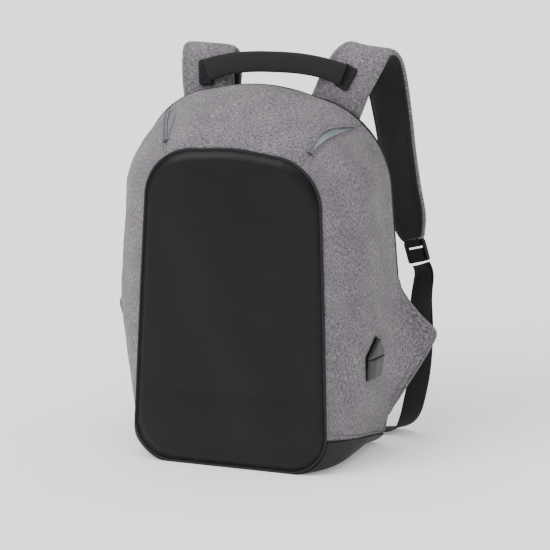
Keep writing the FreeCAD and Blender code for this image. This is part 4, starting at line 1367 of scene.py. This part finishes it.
@dataclass
class BackPadding:
    """Cushions on the back, puffed by a short cloth simulation."""

    wardrobe: Wardrobe
    voxel: float = 0.0045
    cap: float = 0.007

    def cushion(self, node: str, body: str) -> None:
        """One cushion: a smaller copy of its solid, inflated, capped, smoothed, flat behind.

        Args:
            node: CAD node that it stands for.
            body: body that it rides on.
        """
        low, high = (np.array(corner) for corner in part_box(node))
        middle, size = (low + high) / 2, high - low
        bpy.ops.mesh.primitive_cube_add(size=1)
        piece = bpy.context.active_object
        piece.name = node + "_cushion"
        coords = np.zeros(24)
        piece.data.vertices.foreach_get("co", coords)
        shape = coords.reshape(-1, 3) * (size - [0.006, 0.003, 0.006]) + middle
        piece.data.vertices.foreach_set("co", shape.ravel())
        bevel = piece.modifiers.new("corners", "BEVEL")
        bevel.width, bevel.segments = 0.0045, 3
        remesh = piece.modifiers.new("voxels", "REMESH")
        remesh.mode, remesh.voxel_size = "VOXEL", self.voxel
        self.apply(piece)
        self.inflate(piece)
        self.settle(piece, low[1], size)
        smooth = piece.modifiers.new("round", "SUBSURF")
        smooth.levels = smooth.render_levels = 1
        self.apply(piece)
        piece.data.polygons.foreach_set("use_smooth", np.ones(len(piece.data.polygons), bool))
        self.flat_uv(piece)
        self.wardrobe.dress(piece, "air_mesh")
        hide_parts(node)
        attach(piece, body)
        self.edging(node, body, low, high)

    def apply(self, piece: bpy.types.Object) -> None:
        """Replace a piece's mesh by its evaluated mesh."""
        graph = bpy.context.evaluated_depsgraph_get()
        mesh = bpy.data.meshes.new_from_object(piece.evaluated_get(graph))
        piece.modifiers.clear()
        piece.data = mesh

    def inflate(self, piece: bpy.types.Object) -> None:
        """Run cloth under pressure for twenty frames and keep the last shape, within the cap."""
        rest = np.zeros(len(piece.data.vertices) * 3)
        piece.data.vertices.foreach_get("co", rest)
        cloth = piece.modifiers.new("puff", "CLOTH")
        cloth.settings.use_pressure = True
        cloth.settings.uniform_pressure_force = 4.0
        cloth.settings.effector_weights.gravity = 0.0
        cloth.settings.quality = 5
        scene = bpy.context.scene
        for number in range(1, 21):
            scene.frame_set(number)
        self.apply(piece)
        scene.frame_set(1)
        moved = np.zeros_like(rest)
        piece.data.vertices.foreach_get("co", moved)
        step = (moved - rest).reshape(-1, 3)
        reach = np.linalg.norm(step, axis=1, keepdims=True)
        step *= np.minimum(1.0, self.cap / np.maximum(reach, 1e-9))
        piece.data.vertices.foreach_set("co", (rest.reshape(-1, 3) + step).ravel())

    def settle(self, piece: bpy.types.Object, back: float, size: Array) -> None:
        """Flatten the side that rests on the panel and press in cross channels."""
        coords = np.zeros(len(piece.data.vertices) * 3)
        piece.data.vertices.foreach_get("co", coords)
        points = coords.reshape(-1, 3)
        height = points[:, 1] - back
        tall = size[2] > size[0]
        run = points[:, 2] if tall else points[:, 0]
        span = size[2] if tall else size[0]
        phase = (run - run.mean()) / span
        groove = np.zeros(len(points))
        for place in (-0.25, 0.0, 0.25):
            groove += np.exp(-((phase - place) * span / 0.0045) ** 2)
        points[:, 1] = back + np.clip(height, 0.0003, None) * (1 - 0.42 * groove)
        piece.data.vertices.foreach_set("co", points.ravel())

    def flat_uv(self, piece: bpy.types.Object) -> None:
        """Cloth coordinates from X and Z."""
        mesh = piece.data
        coords = np.zeros(len(mesh.vertices) * 3)
        mesh.vertices.foreach_get("co", coords)
        order = np.zeros(len(mesh.loops), int)
        mesh.loops.foreach_get("vertex_index", order)
        layer = mesh.uv_layers.new(name="UVMap")
        layer.data.foreach_set(
            "uv", coords.reshape(-1, 3)[order][:, [0, 2]].astype(np.float32).ravel())

    def edging(self, node: str, body: str, low: Array, high: Array) -> None:
        """Bound edge round the cushion: a thin cord on a rounded rectangle."""
        angle = np.linspace(0, 2 * math.pi, 200, endpoint=False)
        half = (high - low)[[0, 2]] / 2
        middle = (high + low)[[0, 2]] / 2
        power = 2 / 7
        x = middle[0] + half[0] * np.sign(np.cos(angle)) * np.abs(np.cos(angle)) ** power
        z = middle[1] + half[1] * np.sign(np.sin(angle)) * np.abs(np.sin(angle)) ** power
        path = np.stack([x, np.full_like(x, low[1] + 0.0014), z], 1)
        path = evenly(np.concatenate([path, path[:1]]), 241)
        piece = grid_piece(node + "_binding", tube_grid(path, 0.0016, 8), loop=True)
        self.wardrobe.dress(piece, "piping_black")
        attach(piece, body)

    def build(self) -> None:
        """Two cushions on the flap and the lumbar cushion below."""
        for side in Side:
            self.cushion(f"back_pad_{side.tag}", "back_flap")
        self.cushion("lumbar_pad", "pack")


# ------------------------------------------------------------------ straps
ROUTES = {
    # across, behind the rear face, below the crest, turn about the vertical in degrees
    Side.RIGHT: ((72, 5.0, 106, 0), (72, 7.2, 90, 0), (78, 9.4, 74, 0), (86, 12, 54, 0),
                 (96, 16, 29, -2),
                 (109, 23, 7, -4), (118, 36, -3, -8), (123, 50, 8, -12), (127, 61, 37, -18),
                 (133, 67, 88, -24), (139, 68, 138, -28), (147, 65, 188, -28), (155, 61, 224, -26),
                 (160, 59, 240, -24)),
    Side.LEFT: ((-73, 5.0, 106, 0), (-73, 7.2, 90, 0), (-74, 9.4, 76, 0), (-76, 12, 60, 0),
                (-79, 16, 38, 0), (-81, 23, 18, 0), (-83, 36, 10, 0), (-84, 50, 19, 2),
                (-87, 61, 44, 6), (-95, 67, 91, 12), (-106, 68, 139, 17), (-120, 65, 188, 20),
                (-133, 61, 224, 20), (-138, 59, 240, 20)),
}
REAR_LEG_START = 8
HANDLE_SEAT = 4
TAIL_ROUTE = ((12, 53, 168), (12, 50, 122), (9, 48, 80), (2, 47, 44), (-5, 46, 21),
              (-18, 44, 6), (-41, 41, 1.6))


@dataclass
class Ribbon:
    """Frames along a flat strip: place, width direction and outward direction."""

    path: Array
    turns: Array

    def frames(self) -> tuple:
        """Directions at each point: across lies level before it is squared to the heading."""
        heading = unit(np.gradient(self.path, axis=0))
        angle = np.radians(self.turns)
        across = np.stack([np.cos(angle), np.sin(angle), np.zeros_like(angle)], 1)
        across = unit(across - heading * (across * heading).sum(1, keepdims=True))
        return heading, across, unit(np.cross(across, heading))


@dataclass
class Strap:
    """One padded shoulder strap with its lock and webbing."""

    side: Side
    wardrobe: Wardrobe
    rear: float = 0.070
    crest: float = 468.0
    drop: float = 230.0
    width: float = 0.062
    end_width: float = 0.034
    half_thick: float = 0.0052
    webbing_width: float = 0.025
    webbing_thick: float = 0.0016
    steps: int = 150

    def __post_init__(self) -> None:
        """Smooth the listed route and its turns."""
        route = np.array(ROUTES[self.side], float)
        route[REAR_LEG_START:, 2] *= self.drop / route[-1, 2]
        points = np.stack([route[:, 0], self.rear * 1000 + route[:, 1],
                           self.crest - route[:, 2]], 1) / 1000
        curve = smooth_curve(np.concatenate([points, route[:, 3:4]], 1), 400)
        curve = evenly(curve * [1, 1, 1, 1e-4], self.steps) * [1, 1, 1, 1e4]
        self.path, turns = curve[:, :3], curve[:, 3]
        self.heading, self.across, self.outward = Ribbon(self.path, turns).frames()
        self.turns = turns
        run = lengths_along(self.path)
        left = run[-1] - run
        taper = np.clip(left / 0.040, 0, 1)
        self.widths = (self.end_width + (self.width - self.end_width)
                       * np.sin(taper * math.pi / 2) ** 0.8)

    def seat(self, number: int) -> int:
        """Number of the path point nearest one point of the listed route."""
        height = (self.crest - ROUTES[self.side][number][2]) / 1000
        return int(np.argmin(np.abs(self.path[:self.steps // 4, 2] - height)))

    def half_section(self, start: float, end: float, columns: int, lift: float) -> Array:
        """Part of the strap's padded section carried along its path.

        The section is a flat superellipse: width times a softened cosine, thickness times a
        softened sine, with a shallow quilted dip beside each edge.

        Args:
            start: first angle round the section.
            end: last angle.
            columns: points round it.
            lift: extra distance from the middle layer.

        Returns:
            Grid of positions.
        """
        angle = np.linspace(start, end, columns)
        c, s = np.cos(angle), np.sin(angle)
        wide = np.sign(c) * np.abs(c) ** 0.42
        tall = np.sign(s) * np.abs(s) ** 0.62
        dip = 1 - 0.22 * np.exp(-((np.abs(wide) - 0.84) / 0.05) ** 2)
        x = self.widths[:, None] / 2 * wide[None]
        z = (self.half_thick * tall * dip)[None] + lift * np.sign(s)[None]
        uneven = ripple(self.path, 0.05, 61)[:, None] * 0.0006 * np.abs(tall)[None]
        z = z + uneven * np.sign(s)[None]
        return (self.path[:, None] + self.across[:, None] * x[..., None]
                + self.outward[:, None] * z[..., None])

    def attach(self, piece: bpy.types.Object, finish: str, nodes: Sequence[str] = ()) -> None:
        """Dress a piece of the strap and let it ride on the flap."""
        self.wardrobe.dress(piece, finish)
        if nodes:
            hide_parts(*nodes)
        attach(piece, "back_flap")

    def pads(self) -> None:
        """Outer cover that wraps the edges, air mesh inside, and the closed foam between."""
        tag = self.side.tag
        foam = self.half_section(0, 2 * math.pi - 2 * math.pi / 40, 40, -0.0012)
        piece = grid_piece(f"strap_padding_{tag}", foam, loop=True, capped=True)
        self.orient(piece)
        self.attach(piece, "piping_black", [f"strap_foam_{tag}"])
        cover = self.half_section(-0.34, math.pi + 0.34, 36, 0.0)
        piece = grid_piece(f"strap_face_{tag}", cover)
        self.orient(piece)
        thicken(piece, 0.0009)
        self.attach(piece, "mottled_polyester", [f"strap_cover_{tag}"])
        mesh = self.half_section(math.pi + 0.30, 2 * math.pi - 0.30, 30, 0.0002)
        piece = grid_piece(f"strap_air_mesh_{tag}", mesh)
        self.orient(piece)
        thicken(piece, 0.0009)
        self.attach(piece, "air_mesh", [f"strap_mesh_{tag}"])
        self.edge_binding()
        self.edge_stitches()
        self.tip()

    def orient(self, piece: bpy.types.Object) -> None:
        """Turn faces outward from the strap's middle line."""
        work = bmesh.new()
        work.from_mesh(piece.data)
        work.faces.ensure_lookup_table()
        middle = self.path[self.steps // 3]
        nearest = min(work.faces,
                      key=lambda f: (f.calc_center_median() - bpy_vector(middle)).length)
        away = nearest.calc_center_median() - bpy_vector(middle)
        wrong = nearest.normal.dot(away) < 0
        work.free()
        if wrong:
            piece.data.flip_normals()

    def edge_binding(self) -> None:
        """Bound edge: a slim cord of folded cloth down both edges."""
        for number, sign in ((1, -1.0), (2, 1.0)):
            path = self.path + self.across * (self.widths / 2 * sign * 0.985)[:, None]
            piece = grid_piece(f"strap_edge_{number}_{self.side.tag}", tube_grid(path, 0.0021, 10),
                               loop=True, capped=True)
            self.attach(piece, "mottled_polyester")

    def edge_stitches(self) -> None:
        """Top stitching beside both edges of the face."""
        for number, sign in ((1, -1.0), (2, 1.0)):
            offset = self.half_thick * 0.80 + 0.0004
            path = (self.path + self.across * (self.widths / 2 * sign * 0.84)[:, None]
                    + self.outward * offset)
            row = stitch_row(f"strap_stitches_{number}_{self.side.tag}", path, self.outward)
            self.attach(row, "thread_grey")

    def tip(self) -> None:
        """Rounded closed end where the lock's loop is sewn in."""
        base, across, outward, heading = (
            v[-1] for v in (self.path, self.across, self.outward, self.heading))
        angle = np.linspace(0, 2 * math.pi, 40, endpoint=False)
        c, s = np.cos(angle), np.sin(angle)
        wide = np.sign(c) * np.abs(c) ** 0.42 * self.end_width / 2
        tall = np.sign(s) * np.abs(s) ** 0.62 * self.half_thick
        share = np.linspace(0, 1, 8)
        size = np.sqrt(np.maximum(0.0, 1 - share ** 2))
        size[-1] = 0.05
        grid = (base + heading * (share * 0.0035)[:, None, None]
                + across * (wide[None] * (0.35 + 0.65 * size)[:, None])[..., None]
                + outward * (tall[None] * size[:, None])[..., None])
        piece = grid_piece(f"strap_tip_{self.side.tag}", grid, loop=True, capped=True)
        self.attach(piece, "mottled_polyester")

    def lock_frame(self) -> tuple:
        """Origin of the lock's top bar, and its across, up and outward directions."""
        joint = next(j for j in frame["joints"] if j["name"] == f"lock_tilt_{self.side.tag}")
        across, outward = self.across[-1], self.outward[-1]
        return np.array(joint["pos_m"]), across, np.cross(across, outward), outward

    def lock(self) -> None:
        """Bevelled ladder lock with its loop and fold."""
        tag = self.side.tag
        pieces = ((f"ladder_lock_{tag}", f"lock_{tag}", "buckle_plastic", 0.0008),
                  (f"webbing_fold_{tag}", f"lock_{tag}", "webbing", 0.0004),
                  (f"lock_loop_{tag}", "back_flap", "webbing", 0.0004))
        for node, body, finish, width in pieces:
            piece = softened_copy(node, width)
            self.wardrobe.dress(piece, finish)
            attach(piece, body)

    def strip(self, name: str, points: Array, turns: Array, steps: int) -> bpy.types.Object:
        """Webbing: a flat rounded section carried along a smooth path."""
        curve = smooth_curve(np.concatenate([points, np.asarray(turns, float)[:, None]], 1), steps)
        _, across, outward = Ribbon(curve[:, :3], curve[:, 3]).frames()
        angle = np.linspace(0, 2 * math.pi, 20, endpoint=False)
        c, s = np.cos(angle), np.sin(angle)
        wide = np.sign(c) * np.abs(c) ** 0.35 * self.webbing_width / 2
        tall = np.sign(s) * np.abs(s) ** 0.6 * self.webbing_thick / 2
        grid = (curve[:, None, :3] + across[:, None] * wide[None, :, None]
                + outward[:, None] * tall[None, :, None])
        piece = grid_piece(name, grid, loop=True, capped=True)
        face_outward(piece.data)
        self.wardrobe.dress(piece, "webbing")
        return piece

    def webbing(self) -> None:
        """Lower webbing to the wing and the loose tail that lies on the floor."""
        tag, sx = self.side.tag, self.side.value
        origin, _, up, outward = self.lock_frame()
        turn = self.turns[-1]
        leg, foot = 0.00335, -0.0256
        start = origin + up * (foot - 0.001) - outward * leg
        below = origin + up * (foot - 0.014) - outward * leg
        wing_x, anchor_y, tip = sx * 0.182, self.rear + 0.0125, 0.135
        end = np.array([wing_x, anchor_y + 0.0025, tip])
        near = np.array([wing_x, anchor_y + 0.004, tip + 0.018])
        points = np.stack([start, below, (below + near) / 2, near, end])
        turns = [turn, turn, turn * 0.4 + 8 * sx, 20 * sx, 28 * sx]
        piece = self.strip(f"webbing_run_{tag}", points, turns, 60)
        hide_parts(f"webbing_{tag}")
        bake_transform(piece)
        start = origin + up * (foot - 0.001) + outward * leg
        below = origin + up * (foot - 0.014) + outward * leg
        route = [(origin[0] + sx * x / 1000, self.rear + y / 1000, z / 1000)
                 for x, y, z in TAIL_ROUTE]
        turns = [turn, turn, turn * 0.5] + [value * sx for value in (10, 14, 20, 42, 68, 80)]
        piece = self.strip(f"webbing_end_{tag}", np.array([start, below, *route]), turns, 130)
        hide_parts(f"webbing_tail_{tag}")
        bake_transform(piece)

    def build(self) -> None:
        """Make the whole strap."""
        self.pads()
        self.lock()
        self.webbing()


def bpy_vector(values: Array) -> Any:
    """Blender vector from an array."""
    return Vector([float(value) for value in values])


@dataclass
class Handle:
    """Carry handle sewn to the front faces of both straps."""

    straps: dict
    wardrobe: Wardrobe
    width: float = 0.025
    thick: float = 0.0056
    rise: float = 0.0175
    end_height: float = 0.002
    overlap: float = 0.006
    patch: float = 0.016

    def arch(self, count: int) -> Array:
        """Path between the straps: a straight line lifted by a parabola."""
        ends = []
        for side in Side:
            strap = self.straps[side]
            index = strap.seat(HANDLE_SEAT)
            point = strap.path[index] + strap.outward[index] * 0.005
            ends.append(point + [side.value * self.overlap, 0, self.end_height])
        share = np.linspace(0, 1, count)[:, None]
        lift = 1 - np.abs(2 * share - 1) ** 2.6
        return ends[0] + (ends[1] - ends[0]) * share + np.array([0, -0.0035, self.rise]) * lift

    def band(self, name: str, path: Array, width: Array, thick: Array,
             lift: float) -> bpy.types.Object:
        """Rounded band standing on edge along a path, its face to the front."""
        heading = unit(np.gradient(path, axis=0))
        facing = np.array([0.0, -1.0, 0.10])
        facing = unit(facing - heading * (heading @ facing)[:, None])
        tall = unit(np.cross(heading, facing))
        angle = np.linspace(0, 2 * math.pi, 28, endpoint=False)
        c, s = np.cos(angle), np.sin(angle)
        w = np.sign(c) * np.abs(c) ** 0.5 * width[:, None] / 2
        d = np.sign(s) * np.abs(s) ** 0.75 * thick[:, None] / 2 + lift
        grid = path[:, None] + tall[:, None] * w[..., None] + facing[:, None] * d[..., None]
        piece = grid_piece(name, grid, loop=True, capped=True)
        face_outward(piece.data)
        return piece

    def patch_piece(self, side: Side, centre: Array) -> None:
        """Folded webbing end: a soft slab along the strap, box-stitched with a cross.

        The slab is a superellipsoid, so its corners and edges are round.
        """
        strap = self.straps[side]
        index = strap.seat(HANDLE_SEAT)
        across, tall, facing = strap.across[index], strap.heading[index], strap.outward[index]
        low = np.linspace(-math.pi / 2, math.pi / 2, 25)[:, None]
        turn = np.linspace(0, 2 * math.pi, 48, endpoint=False)[None]

        def soft(value: Array, power: float) -> Array:
            """Signed power."""
            return np.sign(value) * np.abs(value) ** power

        x = soft(np.cos(low), 0.3) * soft(np.cos(turn), 0.25) * self.patch * 0.56
        y = soft(np.cos(low), 0.3) * soft(np.sin(turn), 0.25) * self.width * 0.60
        z = soft(np.sin(low), 0.6) * 0.0017 * np.ones_like(turn)
        grid = (centre + across * x[..., None] + tall * y[..., None]
                + facing * (z - 0.0002 * np.cos(x * 900) * np.cos(y * 700))[..., None])
        piece = grid_piece(f"handle_end_{side.tag}", grid, loop=True)
        face_outward(piece.data, merge=True)
        self.wardrobe.dress(piece, "webbing")
        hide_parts(f"handle_patch_{side.tag}")
        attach(piece, "back_flap")
        w, t = self.patch * 0.40, self.width * 0.47
        corners = np.array([(-w, -t), (w, -t), (w, t), (-w, t), (-w, -t), (w, t), (w, -t), (-w, t)])
        line = centre + facing * 0.0018 + corners[:, :1] * across + corners[:, 1:] * tall
        dense = np.concatenate([a + (b - a) * np.linspace(0, 1, 12)[:, None]
                                for a, b in zip(line, line[1:])])
        row = stitch_row(f"handle_box_stitches_{side.tag}", dense,
                         np.broadcast_to(facing, dense.shape),
                         0.0026, 0.0020, 0.00038)
        self.wardrobe.dress(row, "thread_dark")
        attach(row, "back_flap")

    def build(self) -> None:
        """Sleeve over its core, and the two sewn ends."""
        path = self.arch(160)
        run = lengths_along(path)
        middle = (run > self.patch * 0.55) & (run < run[-1] - self.patch * 0.50)
        body = path[middle]
        share = np.linspace(-1, 1, len(body))
        flare = 1 + 0.08 * share ** 6
        thin = 1 - 0.25 * np.abs(share) ** 10
        piece = self.band("handle_grip", body, self.width * flare, self.thick * thin, 0.0034)
        self.wardrobe.dress(piece, "handle_fabric")
        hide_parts("handle_sleeve", "handle_core")
        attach(piece, "back_flap")
        for side, number in ((Side.LEFT, 0), (Side.RIGHT, -1)):
            inward = path[8 if number == 0 else -9] - path[number]
            centre = (path[number] + unit(inward) * self.patch * 0.40
                      + np.array([0.0, -0.0008, -0.0020]))
            self.patch_piece(side, centre)


# ------------------------------------------------------------------ port and inside
@dataclass
class Port:
    """Charging socket under its rubber cover."""

    wardrobe: Wardrobe
    seat: float = 0.0012
    ridge_place: float = -0.003
    ridge_height: float = 0.0016
    half_width: float = 0.0155
    outline_count: int = 161
    hinge_above_middle: float = 0.0018
    hinge_off_skin: float = 0.0055

    def axes(self) -> tuple:
        """Middle of the port on the skin, and its rearward, upward and outward directions."""
        hinge = next(joint for joint in frame["joints"] if joint["name"] == "port_lid_hinge")
        mount = next(item for item in frame["record"]["mounts"] if item["name"] == "usb_socket")
        rear = -np.array(hinge["axis"], float)
        outward = np.array(mount["axis"], float)
        rise = np.cross(outward, rear)
        middle = (np.array(hinge["pos_m"]) - rise * self.hinge_above_middle
                  - outward * self.hinge_off_skin)
        return middle, rear, rise, outward

    def cover(self, name: str, body: str, corners: Sequence, thick: float) -> None:
        """Soft rubber plate with an upright ridge.

        Rings shrink from the outline to its middle; height falls away from the ridge on both sides
        and rounds over at the rim.

        Args:
            name: node that it stands for.
            body: body that it rides on.
            corners: outline in millimetres, rearward and upward of the middle.
            thick: thickness at the rim.
        """
        base, rear, rise, outward = self.axes()
        corners = np.array(corners, float) / 1000
        closed = np.concatenate([corners, corners[:1]])
        middle = corners.mean(0)
        share = np.linspace(0, 1, 20, endpoint=False)[:, None]
        sides = [a + (b - a) * share for a, b in zip(closed, closed[1:])]
        outline = evenly(np.concatenate(sides + [closed[:1]]), self.outline_count)[:-1]
        share = np.array([0.96, 1.0, 1.0, 0.985, 0.95, 0.9, 0.8, 0.65, 0.5, 0.35, 0.2, 0.08, 0.01])
        edge = np.array([0.0, 0.0, 0.55, 0.86, 1.0, 1.06, 1.08, 1.08, 1.08, 1.08, 1.08, 1.08, 1.08])
        flat = middle + (outline - middle) * share[:, None, None]
        ridge = 1 - np.abs(flat[..., 0] - self.ridge_place) / self.half_width
        inner = np.clip((1 - share) / 0.25, 0, 1)[:, None]
        height = (self.seat + thick * edge[:, None]
                  + self.ridge_height * ridge * (0.35 + 0.65 * inner) * (edge > 0)[:, None])
        points = (base + rear * flat[..., :1] + rise * flat[..., 1:] + outward * height[..., None])
        piece = disc_piece(name + "_rubber", points, (1, 2))
        face_outward(piece.data, cap=len(outline))
        self.wardrobe.dress(piece, "port_rubber")
        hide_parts(name)
        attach(piece, body)

    def build(self) -> None:
        """Bevelled rubber frame, two-part ridged cover and finished socket nodes."""
        piece = softened_copy("port_frame", 0.0008)
        self.wardrobe.dress(piece, "port_rubber")
        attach(piece, "pack")
        self.cover("port_cover_top", "pack",
                   [(-15.3, 2.2), (15.3, 2.2), (15.5, 5), (2.5, 25), (-2.5, 25), (-15.5, 5)],
                   0.0040)
        self.cover("port_cover_lid", "port_lid",
                   [(-13.5, -25), (13.5, -25), (15.2, 1.8), (-15.2, 1.8)], 0.0043)
        for node, finish in (("socket_shell", "socket_steel"), ("socket_tongue", "socket_plastic"),
                             ("socket_contacts", "socket_gold")):
            self.wardrobe.redress_node(node, finish)


@dataclass
class Inside:
    """Pieces seen when the flap is open."""

    wardrobe: Wardrobe

    def build(self) -> None:
        """Soft-edged sleeve and the base board."""
        for node, body, finish, width in (("tablet_sleeve", "back_flap", "lining", 0.0011),
                                          ("base_board", "pack", "board", 0.0008)):
            piece = softened_copy(node, width)
            self.wardrobe.dress(piece, finish)
            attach(piece, body)


# ------------------------------------------------------------------ stage
@dataclass(frozen=True)
class Studio:
    """Floor, lights and camera."""

    azimuth: float = 21.0
    elevation: float = 17.5
    distance: float = 9.0
    lens: float = 502.5
    across: float = 0.0568
    above: float = 0.225
    roll: float = 1.0
    floor_half: float = 9.0
    floor_glow: float = 0.27
    sky: float = 0.42

    def floor(self) -> None:
        """Wide pale floor."""
        line = np.linspace(-self.floor_half, self.floor_half, 5)
        grid = np.stack([*np.meshgrid(line, line), np.zeros((5, 5))], -1)
        piece = grid_piece("floor", grid)
        tree = Tree("pale_paper")
        place = tree.solid_place()
        colour = tree.mix(tree.noise(place, 3.0), (0.95, 0.95, 0.95), (0.97, 0.97, 0.97))
        piece.data.materials.append(tree.close({
            "Base Color": colour, "Roughness": 0.9, "Emission Color": colour,
            "Emission Strength": self.floor_glow}))

    def sun(self, name: str, toward: tuple, strength: float, spread: float) -> None:
        """Broad soft lamp that shines along one direction.

        Args:
            name: lamp name.
            toward: where the light comes from.
            strength: power over an area.
            spread: width of the light in degrees.
        """
        data = bpy.data.lights.new(name, "SUN")
        data.energy, data.angle = strength, math.radians(spread)
        lamp = bpy.data.objects.new(name, data)
        bpy.context.scene.collection.objects.link(lamp)
        lamp.rotation_euler = bpy_vector(-np.array(toward)).to_track_quat("-Z", "Y").to_euler()

    def lights(self) -> None:
        """Key from the upper left and a broad top light under an even pale sky."""
        self.sun("key", (-0.55, -0.62, 0.70), 2.0, 38.0)
        self.sun("top", (-0.10, -0.05, 1.0), 2.6, 80.0)
        self.sun("rim", (0.7, 0.6, 0.5), 0.22, 30.0)
        world = bpy.data.worlds.new("sky")
        world.use_nodes = True
        back = world.node_tree.nodes["Background"]
        back.inputs[0].default_value = (1.0, 1.0, 1.0, 1.0)
        back.inputs[1].default_value = self.sky
        bpy.context.scene.world = world

    def camera(self) -> None:
        """Long lens looking a little down from the front right."""
        a, e = math.radians(self.azimuth), math.radians(self.elevation)
        back = np.array([math.sin(a) * math.cos(e), -math.cos(a) * math.cos(e), math.sin(e)])
        right = np.array([math.cos(a), math.sin(a), 0.0])
        up = np.array([-math.sin(a) * math.sin(e), math.cos(a) * math.sin(e), math.cos(e)])
        target = np.array([0.0, -0.070, 0.0]) + right * self.across + up * self.above
        data = bpy.data.cameras.new("camera")
        data.lens, data.sensor_width = self.lens, 36.0
        camera = bpy.data.objects.new("camera", data)
        bpy.context.scene.collection.objects.link(camera)
        camera.location = bpy_vector(target + back * self.distance)
        camera.rotation_mode = "QUATERNION"
        level = bpy_vector(-back).to_track_quat("-Z", "Y")
        camera.rotation_quaternion = level @ Quaternion((0.0, 0.0, 1.0), -math.radians(self.roll))
        bpy.context.scene.camera = camera

    def build(self) -> None:
        """Set the whole stage."""
        self.floor()
        self.lights()
        self.camera()


def main() -> None:
    """Build every sub-assembly in order."""
    logging.basicConfig(level=logging.INFO, format="%(name)s: %(message)s")
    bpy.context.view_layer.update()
    wardrobe = Wardrobe()
    skin = PackSkin()
    Studio().build()
    front = FrontPanel(skin, wardrobe)
    front.panel()
    front.backing()
    front.piping()
    log.info("front panel built")
    shell = Shell(skin, wardrobe)
    shell.yoke()
    shell.boot()
    shell.seams()
    for side in Side:
        shell.gusset(side)
        shell.insert(side)
    log.info("shell built")
    rear = RearOpening(skin, wardrobe)
    rear.panels()
    rear.tape()
    rear.teeth()
    rear.sliders()
    log.info("rear opening built")
    BackPadding(wardrobe).build()
    log.info("back padding built")
    straps = {side: Strap(side, wardrobe) for side in Side}
    for strap in straps.values():
        strap.build()
    Handle(straps, wardrobe).build()
    log.info("straps and handle built")
    Port(wardrobe).build()
    Inside(wardrobe).build()


if __name__ == "__main__":
    main()
